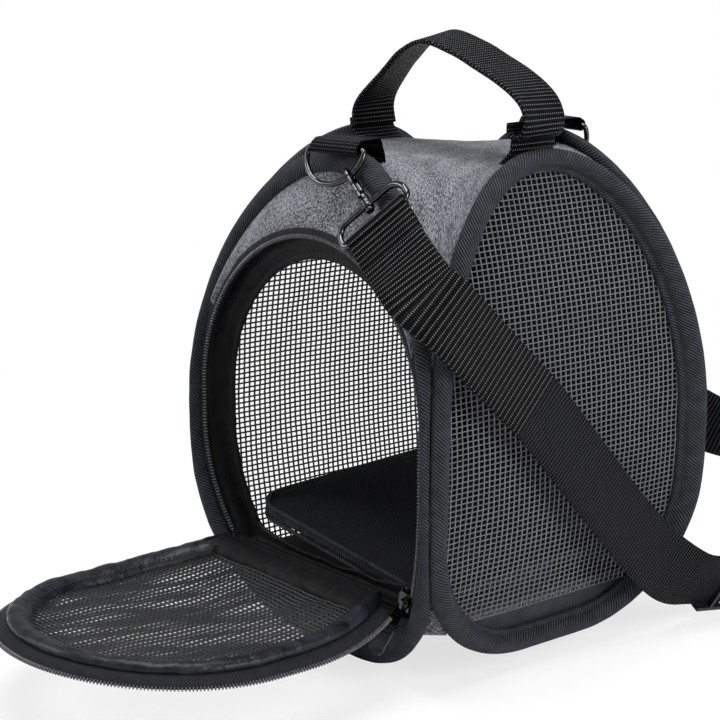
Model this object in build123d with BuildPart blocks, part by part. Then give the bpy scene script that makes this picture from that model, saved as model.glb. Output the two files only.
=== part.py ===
from build123d import *
import os
from math import asin, cos, degrees, pi, radians, sin, sqrt

# Small animal carrier: four arched walls with padded rims, a heather top that
# saddles between them, a zipped door folded down in front, and a shoulder strap.
# Millimetres. X is to the right seen from the front, the front faces -Y,
# Z is up from the surface that the carrier stands on.

# The four walls
wall_depth = 105.0
fullest_height = 120.0
top_draw = 29.0
bottom_draw = 19.0
wall_height = 279.0
wall_half_width = 103.0
shoulder_height = 125.0
hip_height = 90.0
foot_half_width = 22.0
side_wall_lift = 9.0
corner_gap = 0.15

# Padded borders
border_thickness = 5.0
border_width = 13.5
border_top_width = 9.0
border_bottom_width = 10.0
lip_overlap = 2.0
lip_reach = 3.0
lip_depth = 8.0

front_crown_width = 14.0
crescent_setback = 1.2
crescent_gap = 0.6
crescent_crown = 2.5
crescent_start = 27.0
crescent_steps = 14
crescent_shares = 3

# Mesh and cloth
mesh_thickness = 0.6
mesh_bottom = 33.3
cloth_thickness = 1.6
seam_gap = 0.2

# Door opening and its zip
door_half_width = 92.0
arch_height = 139.0
door_waist_height = 115.0
door_side_radius = 149.0
sill_height = 44.0
zip_recess = 3.5
zip_top_draw = 6.5
zip_sill_draw = 9.5
tooth_width = 1.65
tooth_height = 2.2
tape_thickness = 1.0
zip_split = 0.15
body_tape_width = 1.2
door_tape_end = 8.0
zip_start_height = 50.0
binding_width = 13.8
binding_depth = 8.0
binding_proud = 1.0
mesh_setback = 3.0
facing_width = 12.4
facing_setback = 0.6
facing_start = 1.5
facing_depth = 10.5
facing_thickness = 1.5
hinge_recess = 9.0
hinge_height = 43.0
hinge_radius = 1.8
hinge_length = 140.0
hinge_flap_gap = 3.6
hinge_flap_inset = 8.0
door_zip_start_height = 76.0

# Top, floor and mat
skin_side_setback = 8.6
skin_end_setback = 7.3
ridge_height = 271.0
saddle_drop = 146.0
saddle_sweep = 78.0
saddle_steps = 12
top_thickness = 2.0
floor_height = 31.5
floor_corner = 5.0
floor_thickness = 2.5
corner_strip_levels = [(31.5, 21.8, 7.8), (52.0, 17.4, 4.9), (70.0, 14.8, 2.8)]
corner_strip_thickness = 1.8
board_margin = 1.4
board_thickness = 2.5
mat_width = 160.0
mat_length = 158.0
mat_thickness = 9.0
mat_corner = 22.0
mat_roll = 7.0
mat_pitch = 2.5
mat_rise = 57.0
mat_back = 3.0
mat_edge_draw = 3.0
board_setback = 4.0

# Carrying handle
handle_width = 31.0
webbing_thickness = 2.4
handle_hinge_height = 287.0
handle_end_radius = 8.0
handle_full_height = 303.0
handle_lap_gap = 0.3
foot_height = 272.5
foot_inner = 48.0
foot_top = 291.0
foot_left = 67.5
foot_right = 67.0
foot_taper_height = 279.5
foot_neck_height = 285.5
foot_neck = 4.5
handle_points = [(-38, 324), (4, 333), (56, 324), (68, 304)]
handle_radii = [20.0, 30.0, 60.0, 22.0, 12.0, 10.0]

# Rings, hooks and strap
bar_height = 279.6
bar_recess = 21.0
bar_front_x = 6.0
bar_front_turn = 14.5
bar_rear_x = 4.0
bar_rear_turn = 180.0
front_ring_lean = 28.0
rear_ring_lean = 18.0
ring_half_bar = 15.5
ring_corner = 2.5
ring_wire = 1.5
wire_sides = 8
bar_clearance = 0.25
front_hook_angle = 42.0
rear_hook_angle = 112.0
front_strap_pull = (52.0, -10.0, 247.0)
rear_strap_pull = (13.0, -8.5, 226.0)
hook_wire = 1.5
hook_half_width = 4.0
hook_rise = 3.25
hook_tip = 3.0
gate_seat = 3.4
loop_corner = 2.4
hook_spine = 11.5
hook_bend = 2.2
collar_radius = 3.0
collar_top = 17.0
collar_bottom = 20.6
shaft_radius = 1.6
shaft_clearance = 0.05
boss_radius = 3.4
boss_bottom = 26.6
rivet_radius = 2.5
rivet_bottom = 28.8
loop_wire = 1.8
loop_top_bar = 23.8
loop_far_bar = 37.6
gate_wire = 1.0
gate_pivot = 15.4
gate_gap = 0.4
strap_width = 38.0
strap_thickness = 1.6
loop_end_clearance = 0.2
fold_length = 22.0
square_run = 5.0
tab_width = 30.0
tab_thickness = 3.4
tab_points = [(0, 2.9), (19.5, 2.7), (23.5, -5.2), (31, -6.4)]
tab_radii = [2.5, 3.0]
adjuster_bar = 2.4
adjuster_gap = 0.4
adjuster_length = 22.0

# Zip slider and its pull
slider_height = 51.0
slider_length = 12.0
slider_inner = 5.5
slider_outer = 2.4
slider_plate = 0.9
slider_channel = 1.9
slider_floor = 1.3
slider_post = 2.4
bridge_width = 1.8
bridge_half_length = 4.5
bridge_leg = 1.4
bridge_clear = 2.5
pull_length = 33.0
pull_width = 5.2
pull_tip_width = 9.0
pull_thickness = 1.4
pull_neck = 7.0
slider_corner = 1.0
pull_eye = 2.8
pull_eye_length = 7.0
pull_end_bar = 1.6
pull_lean = 34.0

# Strap routes: each point as its X beyond the side wall, Y and Z, with the direction of the strap's width
front_end_route = [
    ((-15.0, -106.5, 226.5), (0.42, 0.66, 0.62)),
    ((-3.0, -108.0, 219.5), (0.30, 0.68, 0.66)),
    ((4.0, -102.0, 213.0), (0.16, 0.70, 0.69)),
    ((5.0, -91.0, 203.0), (0.05, 0.70, 0.71)),
    ((4.5, -70.0, 183.5), (0.0, 0.69, 0.72)),
    ((4.3, -36.0, 152.0), (0.0, 0.68, 0.73)),
]
strap_route = [
    ((4.3, -35.6, 151.65), (0.0, 0.68, 0.73)),
    ((4.3, -31.6, 147.95), (0.0, 0.68, 0.73)),
    ((4.5, -2.0, 115.0), (0.0, 0.70, 0.71)),
    ((4.4, 30.0, 79.0), (0.0, 0.72, 0.69)),
    ((4.6, 58.0, 50.0), (0.05, 0.62, 0.78)),
    ((5.0, 78.0, 35.0), (0.30, 0.35, 0.88)),
    ((5.5, 93.0, 28.5), (0.50, 0.12, 0.86)),
    ((7.5, 137.0, 21.5), (0.50, 0.12, 0.86)),
    ((14.0, 166.0, 26.0), (0.40, -0.10, 0.91)),
    ((19.0, 184.0, 46.0), (0.55, -0.35, 0.76)),
    ((12.0, 184.0, 74.0), (0.75, -0.45, 0.50)),
    ((-4.0, 164.0, 95.0), (0.55, -0.25, 0.80)),
    ((-29.0, 137.0, 105.0), (0.35, 0.0, 0.94)),
    ((-54.0, 121.0, 125.0), (0.50, 0.0, 0.86)),
    ((-74.0, 112.0, 154.0), (0.76, 0.0, 0.65)),
    ((-85.0, 106.5, 180.0), (0.93, 0.0, 0.36)),
]


def arc_radius(rise, inset):
    """Radius of an arc that leaves its tangent by inset over rise."""
    return (rise ** 2 + inset ** 2) / (2 * inset)


wall_curve = (wall_depth,
              arc_radius(wall_height - fullest_height, top_draw),
              arc_radius(fullest_height, bottom_draw))
zip_depth = wall_depth - zip_recess
zip_curve = (zip_depth,
             arc_radius(arch_height + door_half_width - fullest_height, zip_top_draw),
             arc_radius(fullest_height - sill_height, zip_sill_draw))
hinge_depth = wall_depth - hinge_recess


def depth_at(curve, height):
    """Distance from the carrier's centre to a curved face at a height."""
    depth, upper, lower = curve
    radius = upper if height > fullest_height else lower
    return depth - radius + sqrt(radius ** 2 - (height - fullest_height) ** 2)


def curved_band(curve, back, face):
    """Solid band across the front, between two offsets from a curved face."""
    depth, upper, lower = curve
    reach = wall_height - fullest_height + 20
    with BuildPart() as band:
        with BuildSketch(Plane.YZ):
            with BuildLine():
                rise = degrees(asin(reach / upper))
                fall = degrees(asin(reach / lower))
                a = CenterArc((upper - depth, fullest_height), upper + face, 180, -rise)
                b = CenterArc((lower - depth, fullest_height), lower + face, 180, fall)
                c = CenterArc((upper - depth, fullest_height), upper + back, 180, -rise)
                d = CenterArc((lower - depth, fullest_height), lower + back, 180, fall)
                Line(a @ 1, c @ 1)
                Line(b @ 1, d @ 1)
            make_face()
        extrude(amount=2 * wall_half_width, both=True)
    return band.part


def wall_outline(side, top, bottom, lift=0.0):
    """Arched outline of a wall, drawn in by side, top and bottom insets."""
    half = wall_half_width - side
    low = lift + bottom
    rise = wall_height - top - shoulder_height
    with BuildSketch() as outline:
        with BuildLine():
            EllipticalCenterArc((0, shoulder_height), half, rise, arc_size=180)
            Line((-half, shoulder_height), (-half, hip_height))
            EllipticalCenterArc((-foot_half_width, hip_height), half - foot_half_width, hip_height - low,
                                start_angle=180, arc_size=90)
            Line((-foot_half_width, low), (foot_half_width, low))
            EllipticalCenterArc((foot_half_width, hip_height), half - foot_half_width, hip_height - low,
                                start_angle=270, arc_size=90)
            Line((half, hip_height), (half, shoulder_height))
        make_face()
    return outline.sketch


def door_outline(grow):
    """Outline of the zipped arch, grown outwards; its sill is straight."""
    half = door_half_width + grow
    centre = door_half_width - door_side_radius
    radius = door_side_radius + grow
    swing = degrees(asin((door_waist_height - sill_height + grow) / radius))
    with BuildSketch() as outline:
        with BuildLine():
            CenterArc((0, arch_height), half, 0, 180)
            Line((-half, arch_height), (-half, door_waist_height))
            left = CenterArc((-centre, door_waist_height), radius, 180, swing)
            right = CenterArc((centre, door_waist_height), radius, 0, -swing)
            Line(left @ 1, right @ 1)
            Line((half, door_waist_height), (half, arch_height))
        make_face()
    return outline.sketch


def front_slab(outer, inner, band, floor=None, ceiling=None):
    """A piece of the front wall: outer less inner, as thick as the band."""
    with BuildPart() as slab:
        with BuildSketch(Plane.XZ):
            add(outer)
            if inner is not None:
                add(inner, mode=Mode.SUBTRACT)
            if floor is not None:
                with Locations((0, floor)):
                    Rectangle(3 * wall_half_width, wall_height, align=(Align.CENTER, Align.MIN),
                              mode=Mode.INTERSECT)
            if ceiling is not None:
                with Locations((0, ceiling)):
                    Rectangle(3 * wall_half_width, wall_height, align=(Align.CENTER, Align.MAX),
                              mode=Mode.INTERSECT)
        extrude(amount=1.5 * wall_depth)
        add(band, mode=Mode.INTERSECT)
    return slab.part


def corner_wedge():
    """The quarter of the plan that belongs to the front wall."""
    far = 2 * wall_depth
    with BuildPart() as wedge:
        with BuildSketch():
            with BuildLine():
                Polyline((0, -corner_gap), (far, -far - corner_gap), (-far, -far - corner_gap), close=True)
            make_face()
        extrude(amount=2 * wall_height, both=True)
    return wedge.part


def skin(rows, thickness, inward):
    """Cloth skin through rows of points, thickened towards the inward directions."""
    under = [[point + way * thickness for point, way in zip(row, ways)] for row, ways in zip(rows, inward)]
    last_row, last = len(rows) - 1, len(rows[0]) - 1
    corners = []
    for i in range(last_row):
        for j in range(last):
            corners.append((rows[i][j], rows[i + 1][j], rows[i + 1][j + 1], rows[i][j + 1]))
            corners.append((under[i][j], under[i][j + 1], under[i + 1][j + 1], under[i + 1][j]))
    rim = [(0, j) for j in range(last)] + [(i, last) for i in range(last_row)]
    rim += [(last_row, j) for j in range(last, 0, -1)] + [(i, 0) for i in range(last_row, 0, -1)]
    for (i, j), (k, m) in zip(rim, rim[1:] + rim[:1]):
        corners.append((rows[i][j], rows[k][m], under[k][m], under[i][j]))
    faces = [Face(Wire.make_polygon(three)) for a, b, c, d in corners for three in ((a, b, c), (a, c, d))]
    return Part() + Solid(Shell(faces))


def save(piece, name):
    """Move a piece to the shared origin, name it and write its file."""
    piece = piece.moved(Location((0, centre_shift, 0)))
    piece.label = name
    export_step(piece, f"parts/{name}.step")
    saved[name] = piece


os.makedirs("parts", exist_ok=True)
saved = {}
door_reach = hinge_depth + arch_height + door_half_width - zip_split - hinge_height
centre_shift = (door_reach - wall_depth) / 2
wedge = corner_wedge()
face_band = curved_band(wall_curve, -border_thickness, 0)
lip_band = curved_band(wall_curve, -lip_depth, -border_thickness + 1)
side_turns = {"right": 90, "left": -90}


def border_edge(over, lift):
    """Inner edge of a wall's padded face, or a line inside or outside it."""
    return wall_outline(border_width + over, border_top_width + over, border_bottom_width + over, lift)


# Padded borders of the side walls, with a lip that steps down to the mesh
side_face = front_slab(wall_outline(0, 0, 0, side_wall_lift), border_edge(0, side_wall_lift), face_band)
side_lip = front_slab(border_edge(-lip_overlap, side_wall_lift), border_edge(lip_reach, side_wall_lift),
                      lip_band)
with BuildPart() as side_border:
    add(side_face)
    add(side_lip)
    add(wedge, mode=Mode.INTERSECT)
for side, turn in side_turns.items():
    save(side_border.part.rotate(Axis.Z, turn), f"{side}_border")

# Side walls: mesh above, plain cloth below
mesh_band = curved_band(wall_curve, -lip_depth - seam_gap - mesh_thickness, -lip_depth - seam_gap)
cloth_band = curved_band(wall_curve, -lip_depth - seam_gap - cloth_thickness, -lip_depth - seam_gap)
side_edge = border_edge(0, side_wall_lift)
side_mesh = front_slab(side_edge, None, mesh_band, floor=mesh_bottom)
side_lower_panel = front_slab(side_edge, None, cloth_band, ceiling=mesh_bottom - seam_gap)
for side, turn in side_turns.items():
    save(side_mesh.rotate(Axis.Z, turn), f"{side}_mesh")
    save(side_lower_panel.rotate(Axis.Z, turn), f"{side}_lower_panel")

# Back wall: a padded border round a heather panel, lined with plain cloth
back_face = front_slab(wall_outline(0, 0, 0), border_edge(0, 0.0), face_band)
with BuildPart() as back_border:
    add(back_face)
    add(wedge, mode=Mode.INTERSECT)
save(back_border.part.rotate(Axis.Z, 180), "back_border")
panel_back = -border_thickness + seam_gap
panel_band = curved_band(wall_curve, panel_back, panel_back + 2 * cloth_thickness)
lining_face = -border_thickness - seam_gap
lining_band = curved_band(wall_curve, lining_face - cloth_thickness, lining_face)
lining_floor = floor_height + floor_thickness + seam_gap
save(front_slab(border_edge(seam_gap, 0.0), None, panel_band).rotate(Axis.Z, 180), "back_panel")
back_lining = front_slab(border_edge(-lip_overlap, 0.0), None, lining_band, floor=lining_floor)
save(back_lining.rotate(Axis.Z, 180), "back_lining")

# Front border: an arched padded rim that widens into the skirt below the door
tooth_outer = zip_split + tooth_width
tape_inner = tooth_outer + seam_gap / 2
tape_outer = tape_inner + body_tape_width
hole_grow = tape_outer + seam_gap / 2
with BuildSketch() as front_hole:
    add(door_outline(hole_grow))
    with BuildLine():
        crown = EllipticalCenterArc((0, shoulder_height), door_half_width + hole_grow,
                                    wall_height - front_crown_width - shoulder_height, arc_size=180)
        Line(crown @ 0, crown @ 1)
    make_face()
front_face = front_slab(wall_outline(0, 0, 0), front_hole.sketch, face_band)
with BuildPart() as front_border:
    add(front_face)
    add(wedge, mode=Mode.INTERSECT)
save(front_border.part, "front_border")


# Heather crescent between the front border's crown and the zip
def crescent_point(turn, share):
    """Point of the crescent: share 0 at the border, 1 at the zip tape."""
    half = door_half_width + hole_grow
    rise = wall_height - front_crown_width - shoulder_height
    outer_height = shoulder_height + (rise - crescent_gap) * sin(turn)
    outer_y = -depth_at(wall_curve, outer_height) + crescent_setback
    outer = Vector((half - crescent_gap) * cos(turn), outer_y, outer_height)
    inner_height = arch_height + (half + 2 * seam_gap) * sin(turn)
    inner = Vector((half + 2 * seam_gap) * cos(turn), -depth_at(zip_curve, inner_height), inner_height)
    return outer + (inner - outer) * share + Vector(0, -crescent_crown * sin(pi * share), 0)


crescent_turns = [radians(crescent_start + (180 - 2 * crescent_start) * i / crescent_steps)
                  for i in range(crescent_steps + 1)]
crescent_rows = [[crescent_point(turn, share / crescent_shares) for share in range(crescent_shares + 1)]
                 for turn in crescent_turns]
crescent_inward = [[Vector(0, 1, 0)] * (crescent_shares + 1)] * (crescent_steps + 1)
save(skin(crescent_rows, cloth_thickness, crescent_inward), "front_panel")


# Door opening: zip on the body's side, facing behind it, and the hinge strip
def zip_slab(outer, inner, low, high, floor=None):
    """A strip of the opening between two outlines, floor up, low to high from the zip."""
    band = curved_band(zip_curve, low, high)
    return front_slab(door_outline(outer), door_outline(inner), band, floor=floor)


half_tooth = tooth_height / 2
half_tape = tape_thickness / 2
save(zip_slab(tooth_outer, zip_split, -half_tooth, half_tooth, zip_start_height), "body_zip_teeth")
save(zip_slab(tape_outer, tape_inner, -half_tape, half_tape, zip_start_height), "body_zip_tape")
facing_outer = facing_setback + facing_thickness
with BuildPart() as opening_facing:
    add(zip_slab(facing_outer, facing_setback, -facing_depth - facing_thickness, -facing_start))
    add(zip_slab(facing_outer, -facing_width, -facing_depth - facing_thickness, -facing_depth))
save(opening_facing.part, "opening_facing")

with BuildPart() as hinge_binding:
    with BuildSketch(Plane.YZ):
        with Locations((-hinge_depth, hinge_height)):
            Circle(hinge_radius)
    extrude(amount=hinge_length / 2, both=True)
save(hinge_binding.part, "hinge_binding")

# Door, made shut and then folded down about its hinge
hinge_axis = Axis((0, -hinge_depth, hinge_height), (1, 0, 0))
door_binding_outer = door_tape_end + seam_gap
door_mesh_edge = door_binding_outer + binding_width
with BuildSketch() as binding_outline:
    add(door_outline(-door_binding_outer))
    with Locations((0, hinge_height + hinge_flap_gap)):
        Rectangle(hinge_length - 2 * hinge_flap_inset, door_binding_outer + 2,
                  align=(Align.CENTER, Align.MIN))
with BuildPart() as door_binding:
    add(front_slab(binding_outline.sketch, door_outline(-door_mesh_edge),
                   curved_band(zip_curve, -binding_depth, binding_proud)))
door_pieces = {
    "door_zip_teeth": zip_slab(-zip_split, -tooth_outer, -half_tooth, half_tooth, door_zip_start_height),
    "door_zip_tape": zip_slab(-tape_inner, -door_tape_end, -half_tape, half_tape, door_zip_start_height),
    "door_binding": door_binding.part,
    "door_mesh": front_slab(door_outline(-door_mesh_edge - seam_gap), None,
                            curved_band(zip_curve, -mesh_setback - mesh_thickness, -mesh_setback)),
}
for name, piece in door_pieces.items():
    save(piece.rotate(hinge_axis, 90), name)

# Zip slider at the foot of the right-hand row of teeth, and its pull
slider_fall = door_waist_height - slider_height
slider_x = door_half_width - door_side_radius + sqrt(door_side_radius ** 2 - slider_fall ** 2)
zip_slope = (depth_at(zip_curve, slider_height + 1) - depth_at(zip_curve, slider_height - 1)) / 2
zip_sine = slider_fall / door_side_radius
zip_run = Vector(zip_sine, -zip_slope, sqrt(1 - zip_sine ** 2)).normalized()
zip_face = Vector(0, -1, -zip_slope).normalized()
zip_face = (zip_face - zip_run * zip_face.dot(zip_run)).normalized()
slider_plane = Plane(origin=(slider_x, -depth_at(zip_curve, slider_height), slider_height),
                     x_dir=zip_run.cross(zip_face), z_dir=zip_face)
slider_width = slider_inner + slider_outer
slider_middle = (slider_outer - slider_inner) / 2
bridge_foot = slider_channel + slider_plate
bridge_top = bridge_foot + bridge_clear + bridge_leg
with BuildPart() as slider:
    with BuildSketch(Plane.XY.offset(slider_channel)):
        with Locations((slider_middle, 0)):
            RectangleRounded(slider_width, slider_length, slider_corner)
    extrude(amount=slider_plate)
    with BuildSketch(Plane.XY.offset(-slider_floor - slider_plate)):
        with Locations((-slider_inner / 2, 0)):
            RectangleRounded(slider_inner, slider_length, slider_corner)
    extrude(amount=slider_plate)
    with BuildSketch(Plane.XY.offset(-slider_floor - slider_plate / 2)):
        with Locations((-slider_inner + slider_post / 2, 0)):
            RectangleRounded(slider_post, slider_length * 0.6, slider_corner / 2)
    extrude(amount=slider_floor + slider_channel + slider_plate)
    with BuildSketch(Plane.YZ):
        with Locations((0, bridge_foot - slider_plate / 2)):
            Rectangle(2 * bridge_half_length, bridge_top - bridge_foot + slider_plate / 2,
                      align=(Align.CENTER, Align.MIN))
        with Locations((0, bridge_foot)):
            Rectangle(2 * (bridge_half_length - bridge_leg), bridge_clear, align=(Align.CENTER, Align.MIN),
                      mode=Mode.SUBTRACT)
    extrude(amount=bridge_width / 2, both=True)
save(slider.part.moved(slider_plane.location), "zip_slider")

pull_height = bridge_foot + bridge_clear / 2
pull_base = Plane(origin=(0, pull_end_bar / 2, pull_height), x_dir=(1, 0, 0),
                  z_dir=(0, sin(radians(pull_lean)), cos(radians(pull_lean))))
with BuildPart() as pull:
    with BuildSketch(Plane.XY):
        with BuildLine():
            half = pull_width / 2
            tip = pull_tip_width / 2
            a = Line((half, pull_end_bar / 2), (half, -pull_eye_length - 2 * pull_end_bar))
            b = Line(a @ 1, (pull_neck / 2, -pull_eye_length - 3 * pull_end_bar))
            c = Line(b @ 1, (tip, -pull_length + tip))
            d = ThreePointArc(c @ 1, (0, -pull_length), (-tip, -pull_length + tip))
            e = Line(d @ 1, (-pull_neck / 2, -pull_eye_length - 3 * pull_end_bar))
            f = Line(e @ 1, (-half, -pull_eye_length - 2 * pull_end_bar))
            g = Line(f @ 1, (-half, pull_end_bar / 2))
            Line(g @ 1, a @ 0)
        make_face()
        with Locations((0, -pull_end_bar / 2)):
            Rectangle(pull_eye, pull_eye_length, align=(Align.CENTER, Align.MAX), mode=Mode.SUBTRACT)
    extrude(amount=pull_thickness / 2, both=True)
save(pull.part.moved(pull_base.location).moved(slider_plane.location), "zip_pull")


# Heather top: one skin that saddles between the four arches
def saddle_point(across, along):
    """Point of the top, from two angles measured from the middle of the ridge lines."""
    fall_across = 1 - cos(across)
    fall_along = 1 - cos(along)
    reach_x = depth_at(wall_curve, ridge_height - saddle_drop * fall_along) - skin_side_setback
    reach_y = depth_at(wall_curve, ridge_height - saddle_drop * fall_across) - skin_end_setback
    height = ridge_height - saddle_drop * fall_across * fall_along
    return Vector(sin(across) * reach_x, sin(along) * reach_y, height)


saddle_angles = [radians(saddle_sweep) * (2 * i / saddle_steps - 1) for i in range(saddle_steps + 1)]
saddle_rows = [[saddle_point(a, b) for b in saddle_angles] for a in saddle_angles]
saddle_inward = [[Vector(-sin(a), -sin(b), -cos(a) * cos(b)).normalized() for b in saddle_angles]
                 for a in saddle_angles]
save(skin(saddle_rows, top_thickness, saddle_inward), "top_panel")

# Floor: the heather bottom with its corner strips, and a stiff board on it
floor_x = depth_at(wall_curve, floor_height) - lip_depth - 4 * seam_gap - cloth_thickness
floor_y = depth_at(wall_curve, floor_height) - border_thickness - 4 * seam_gap - cloth_thickness
board_height = floor_height + floor_thickness + seam_gap
with BuildPart() as bottom_panel:
    with BuildSketch(Plane.XY.offset(floor_height)):
        RectangleRounded(2 * floor_x, 2 * floor_y, floor_corner)
    extrude(amount=floor_thickness)
    for lower, upper in zip(corner_strip_levels, corner_strip_levels[1:]):
        for level, recess, half in (lower, upper):
            reach = wall_depth - recess
            with BuildSketch(Plane(origin=(reach, -reach, level), x_dir=(1, 1, 0), z_dir=(0, 0, 1))):
                Rectangle(2 * half, corner_strip_thickness)
        strip = loft(ruled=True, mode=Mode.PRIVATE)
        for turn in range(4):
            add(strip.rotate(Axis.Z, 90 * turn))
save(bottom_panel.part, "bottom_panel")

with BuildPart() as base_board:
    with BuildSketch(Plane.XY.offset(board_height)):
        RectangleRounded(2 * (floor_x - board_margin), 2 * (floor_y - board_setback), floor_corner)
    extrude(amount=board_thickness)
save(base_board.part, "base_board")

# Floor mat: a crowned pad with a piped edge, lying askew on the board
mat_plane = Plane(origin=(0, mat_back, mat_rise)).rotated((mat_pitch, mat_roll, 0))
with BuildPart() as floor_mat:
    for level, inset in ((-mat_thickness / 2, mat_edge_draw), (0, 0), (mat_thickness / 2, mat_edge_draw)):
        with BuildSketch(Plane.XY.offset(level)):
            RectangleRounded(mat_width - 2 * inset, mat_length - 2 * inset, mat_corner - inset)
    loft(ruled=True)
save(floor_mat.part.moved(mat_plane.location), "floor_mat")


# Carrying handle: two sewn feet and a loop that folds over to either side
def web_strip(points, radii, thickness=webbing_thickness, width=handle_width):
    """Webbing bent along a line in the middle plane, across the carrier's width."""
    with BuildPart() as strip:
        with BuildSketch(Plane.XZ):
            with BuildLine():
                FilletPolyline(*points, radius=radii)
            trace(line_width=thickness)
        extrude(amount=width / 2, both=True)
    return strip.part


foot_bend = 2 * webbing_thickness
for side, x in (("left", -foot_left), ("right", foot_right)):
    sign = 1 if x > 0 else -1
    half = handle_width / 2
    with BuildPart() as foot:
        add(web_strip([(sign * foot_inner, foot_height), (x, foot_height), (x, foot_top)], [foot_bend]))
        with BuildSketch(Plane.YZ):
            with BuildLine():
                Polyline((-half, 0), (half, 0), (half, foot_taper_height), (foot_neck, foot_neck_height),
                         (foot_neck, foot_top), (-foot_neck, foot_top), (-foot_neck, foot_neck_height),
                         (-half, foot_taper_height), close=True)
            make_face()
        extrude(amount=wall_half_width, both=True, mode=Mode.INTERSECT)
    save(foot.part, f"handle_foot_{side}")
lap = webbing_thickness + handle_lap_gap
loop_left = -foot_left + lap
loop_right = foot_right - lap
loop_low = handle_hinge_height - handle_end_radius
loop_points = [(loop_left, loop_low), (loop_left, foot_top + 2), *handle_points, (loop_right, foot_top + 2),
               (loop_right, loop_low)]
handle_band = web_strip(loop_points, handle_radii)
with BuildPart() as handle_webbing:
    add(handle_band)
    with BuildSketch(Plane.YZ):
        with Locations((0, handle_hinge_height)):
            Circle(handle_end_radius)
        with BuildLine():
            half = handle_width / 2
            Polyline((-handle_end_radius, handle_hinge_height), (-half, handle_full_height),
                     (-half, 2 * wall_height), (half, 2 * wall_height), (half, handle_full_height),
                     (handle_end_radius, handle_hinge_height), close=True)
        make_face()
    extrude(amount=wall_half_width, both=True, mode=Mode.INTERSECT)
save(handle_webbing.part, "handle_webbing")


# Ring, swivel hook and strap loop, alike at the front and the back
def hang(bar, turn, tilt, angle, pull):
    """Planes of a ring hanging from its bar, and of the hook that the strap pulls from it."""
    along = Vector(1, 0, 0).rotate(Axis.Z, turn)
    outward = along.rotate(Axis.Z, -90)
    lean = radians(tilt)
    up = Vector(0, 0, 1) * cos(lean) - outward * sin(lean)
    ring_plane = Plane(origin=bar, x_dir=along, z_dir=along.cross(up))
    bow = ring_half_bar + ring_corner
    turn_on = radians(angle)
    contact = Vector(*bar) + along * (bow * cos(turn_on)) - up * (ring_corner + bow * sin(turn_on))
    away = (Vector(*pull) - contact).normalized()
    width = along * sin(turn_on) + up * cos(turn_on)
    width = (width - away * width.dot(away)).normalized()
    tab_plane = Plane(origin=bar, x_dir=outward * -1, z_dir=along)
    return ring_plane, Plane(origin=contact, x_dir=width, z_dir=away * -1), tab_plane


with BuildPart() as d_ring:
    with BuildLine() as ring_path:
        bow = ring_half_bar + ring_corner
        Line((-ring_half_bar, 0), (ring_half_bar, 0))
        CenterArc((ring_half_bar, -ring_corner), ring_corner, 90, -90)
        CenterArc((0, -ring_corner), bow, 0, -180)
        CenterArc((-ring_half_bar, -ring_corner), ring_corner, 180, -90)
    with BuildSketch(Plane(origin=(-ring_half_bar, 0, 0), z_dir=(1, 0, 0))):
        RegularPolygon(ring_wire, wire_sides)
    sweep(path=ring_path.wires()[0])

with BuildPart() as hook:
    with BuildSketch(Plane.XY.offset(-rivet_bottom)):
        Circle(rivet_radius)
    extrude(amount=rivet_bottom - boss_bottom - seam_gap)
    with BuildSketch(Plane.XY.offset(-rivet_bottom)):
        Circle(shaft_radius)
    extrude(amount=rivet_bottom - collar_top)
    with BuildSketch(Plane.XY.offset(-collar_bottom)):
        Circle(collar_radius)
    extrude(amount=collar_bottom - collar_top)
    with BuildLine(Plane.YZ) as bow_path:
        FilletPolyline((0, -collar_top - 1), (0, -collar_top + 1), (hook_half_width, -hook_spine),
                       (hook_half_width, hook_rise), (-hook_half_width, hook_rise),
                       (-hook_half_width, -hook_tip),
                       radius=[hook_bend, hook_bend, hook_half_width - 0.1, hook_half_width - 0.1])
    with BuildSketch(Plane.XY.offset(-collar_top - 1)):
        RegularPolygon(hook_wire, wire_sides)
    sweep(path=bow_path.wires()[0])
    with BuildSketch(Plane.XY.offset(-collar_bottom)):
        with Locations((0, -gate_seat)):
            Circle(gate_wire)
    extrude(amount=collar_bottom - gate_pivot - gate_gap)

with BuildPart() as gate:
    with BuildLine() as gate_path:
        Line((0, -gate_seat, -gate_pivot + gate_gap), (0, -hook_half_width, -hook_tip - gate_gap))
    with BuildSketch(Plane(origin=gate_path.line @ 0, z_dir=gate_path.line % 0)):
        Circle(gate_wire)
    sweep(path=gate_path.wires()[0])

loop_half = strap_width / 2 + loop_end_clearance
with BuildPart() as swivel_loop:
    with BuildLine(Plane.XZ) as loop_path:
        Line((-loop_half, -loop_top_bar), (loop_half, -loop_top_bar))
        CenterArc((loop_half, -loop_top_bar - loop_corner), loop_corner, 90, -90)
        Line((loop_half + loop_corner, -loop_top_bar - loop_corner),
             (loop_half + loop_corner, loop_corner - loop_far_bar))
        CenterArc((loop_half, loop_corner - loop_far_bar), loop_corner, 0, -90)
        Line((loop_half, -loop_far_bar), (-loop_half, -loop_far_bar))
        CenterArc((-loop_half, loop_corner - loop_far_bar), loop_corner, 270, -90)
        Line((-loop_half - loop_corner, loop_corner - loop_far_bar),
             (-loop_half - loop_corner, -loop_top_bar - loop_corner))
        CenterArc((-loop_half, -loop_top_bar - loop_corner), loop_corner, 180, -90)
    with BuildSketch(Plane(origin=(-loop_half, 0, -loop_top_bar), z_dir=(1, 0, 0))):
        RegularPolygon(loop_wire, wire_sides)
    sweep(path=loop_path.wires()[0])
    with BuildSketch(Plane.XY.offset(-boss_bottom)):
        Circle(boss_radius)
    extrude(amount=boss_bottom - collar_bottom - seam_gap)
    with BuildSketch(Plane.XY.offset(-boss_bottom)):
        Circle(shaft_radius + shaft_clearance)
    extrude(amount=boss_bottom, mode=Mode.SUBTRACT)

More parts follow.
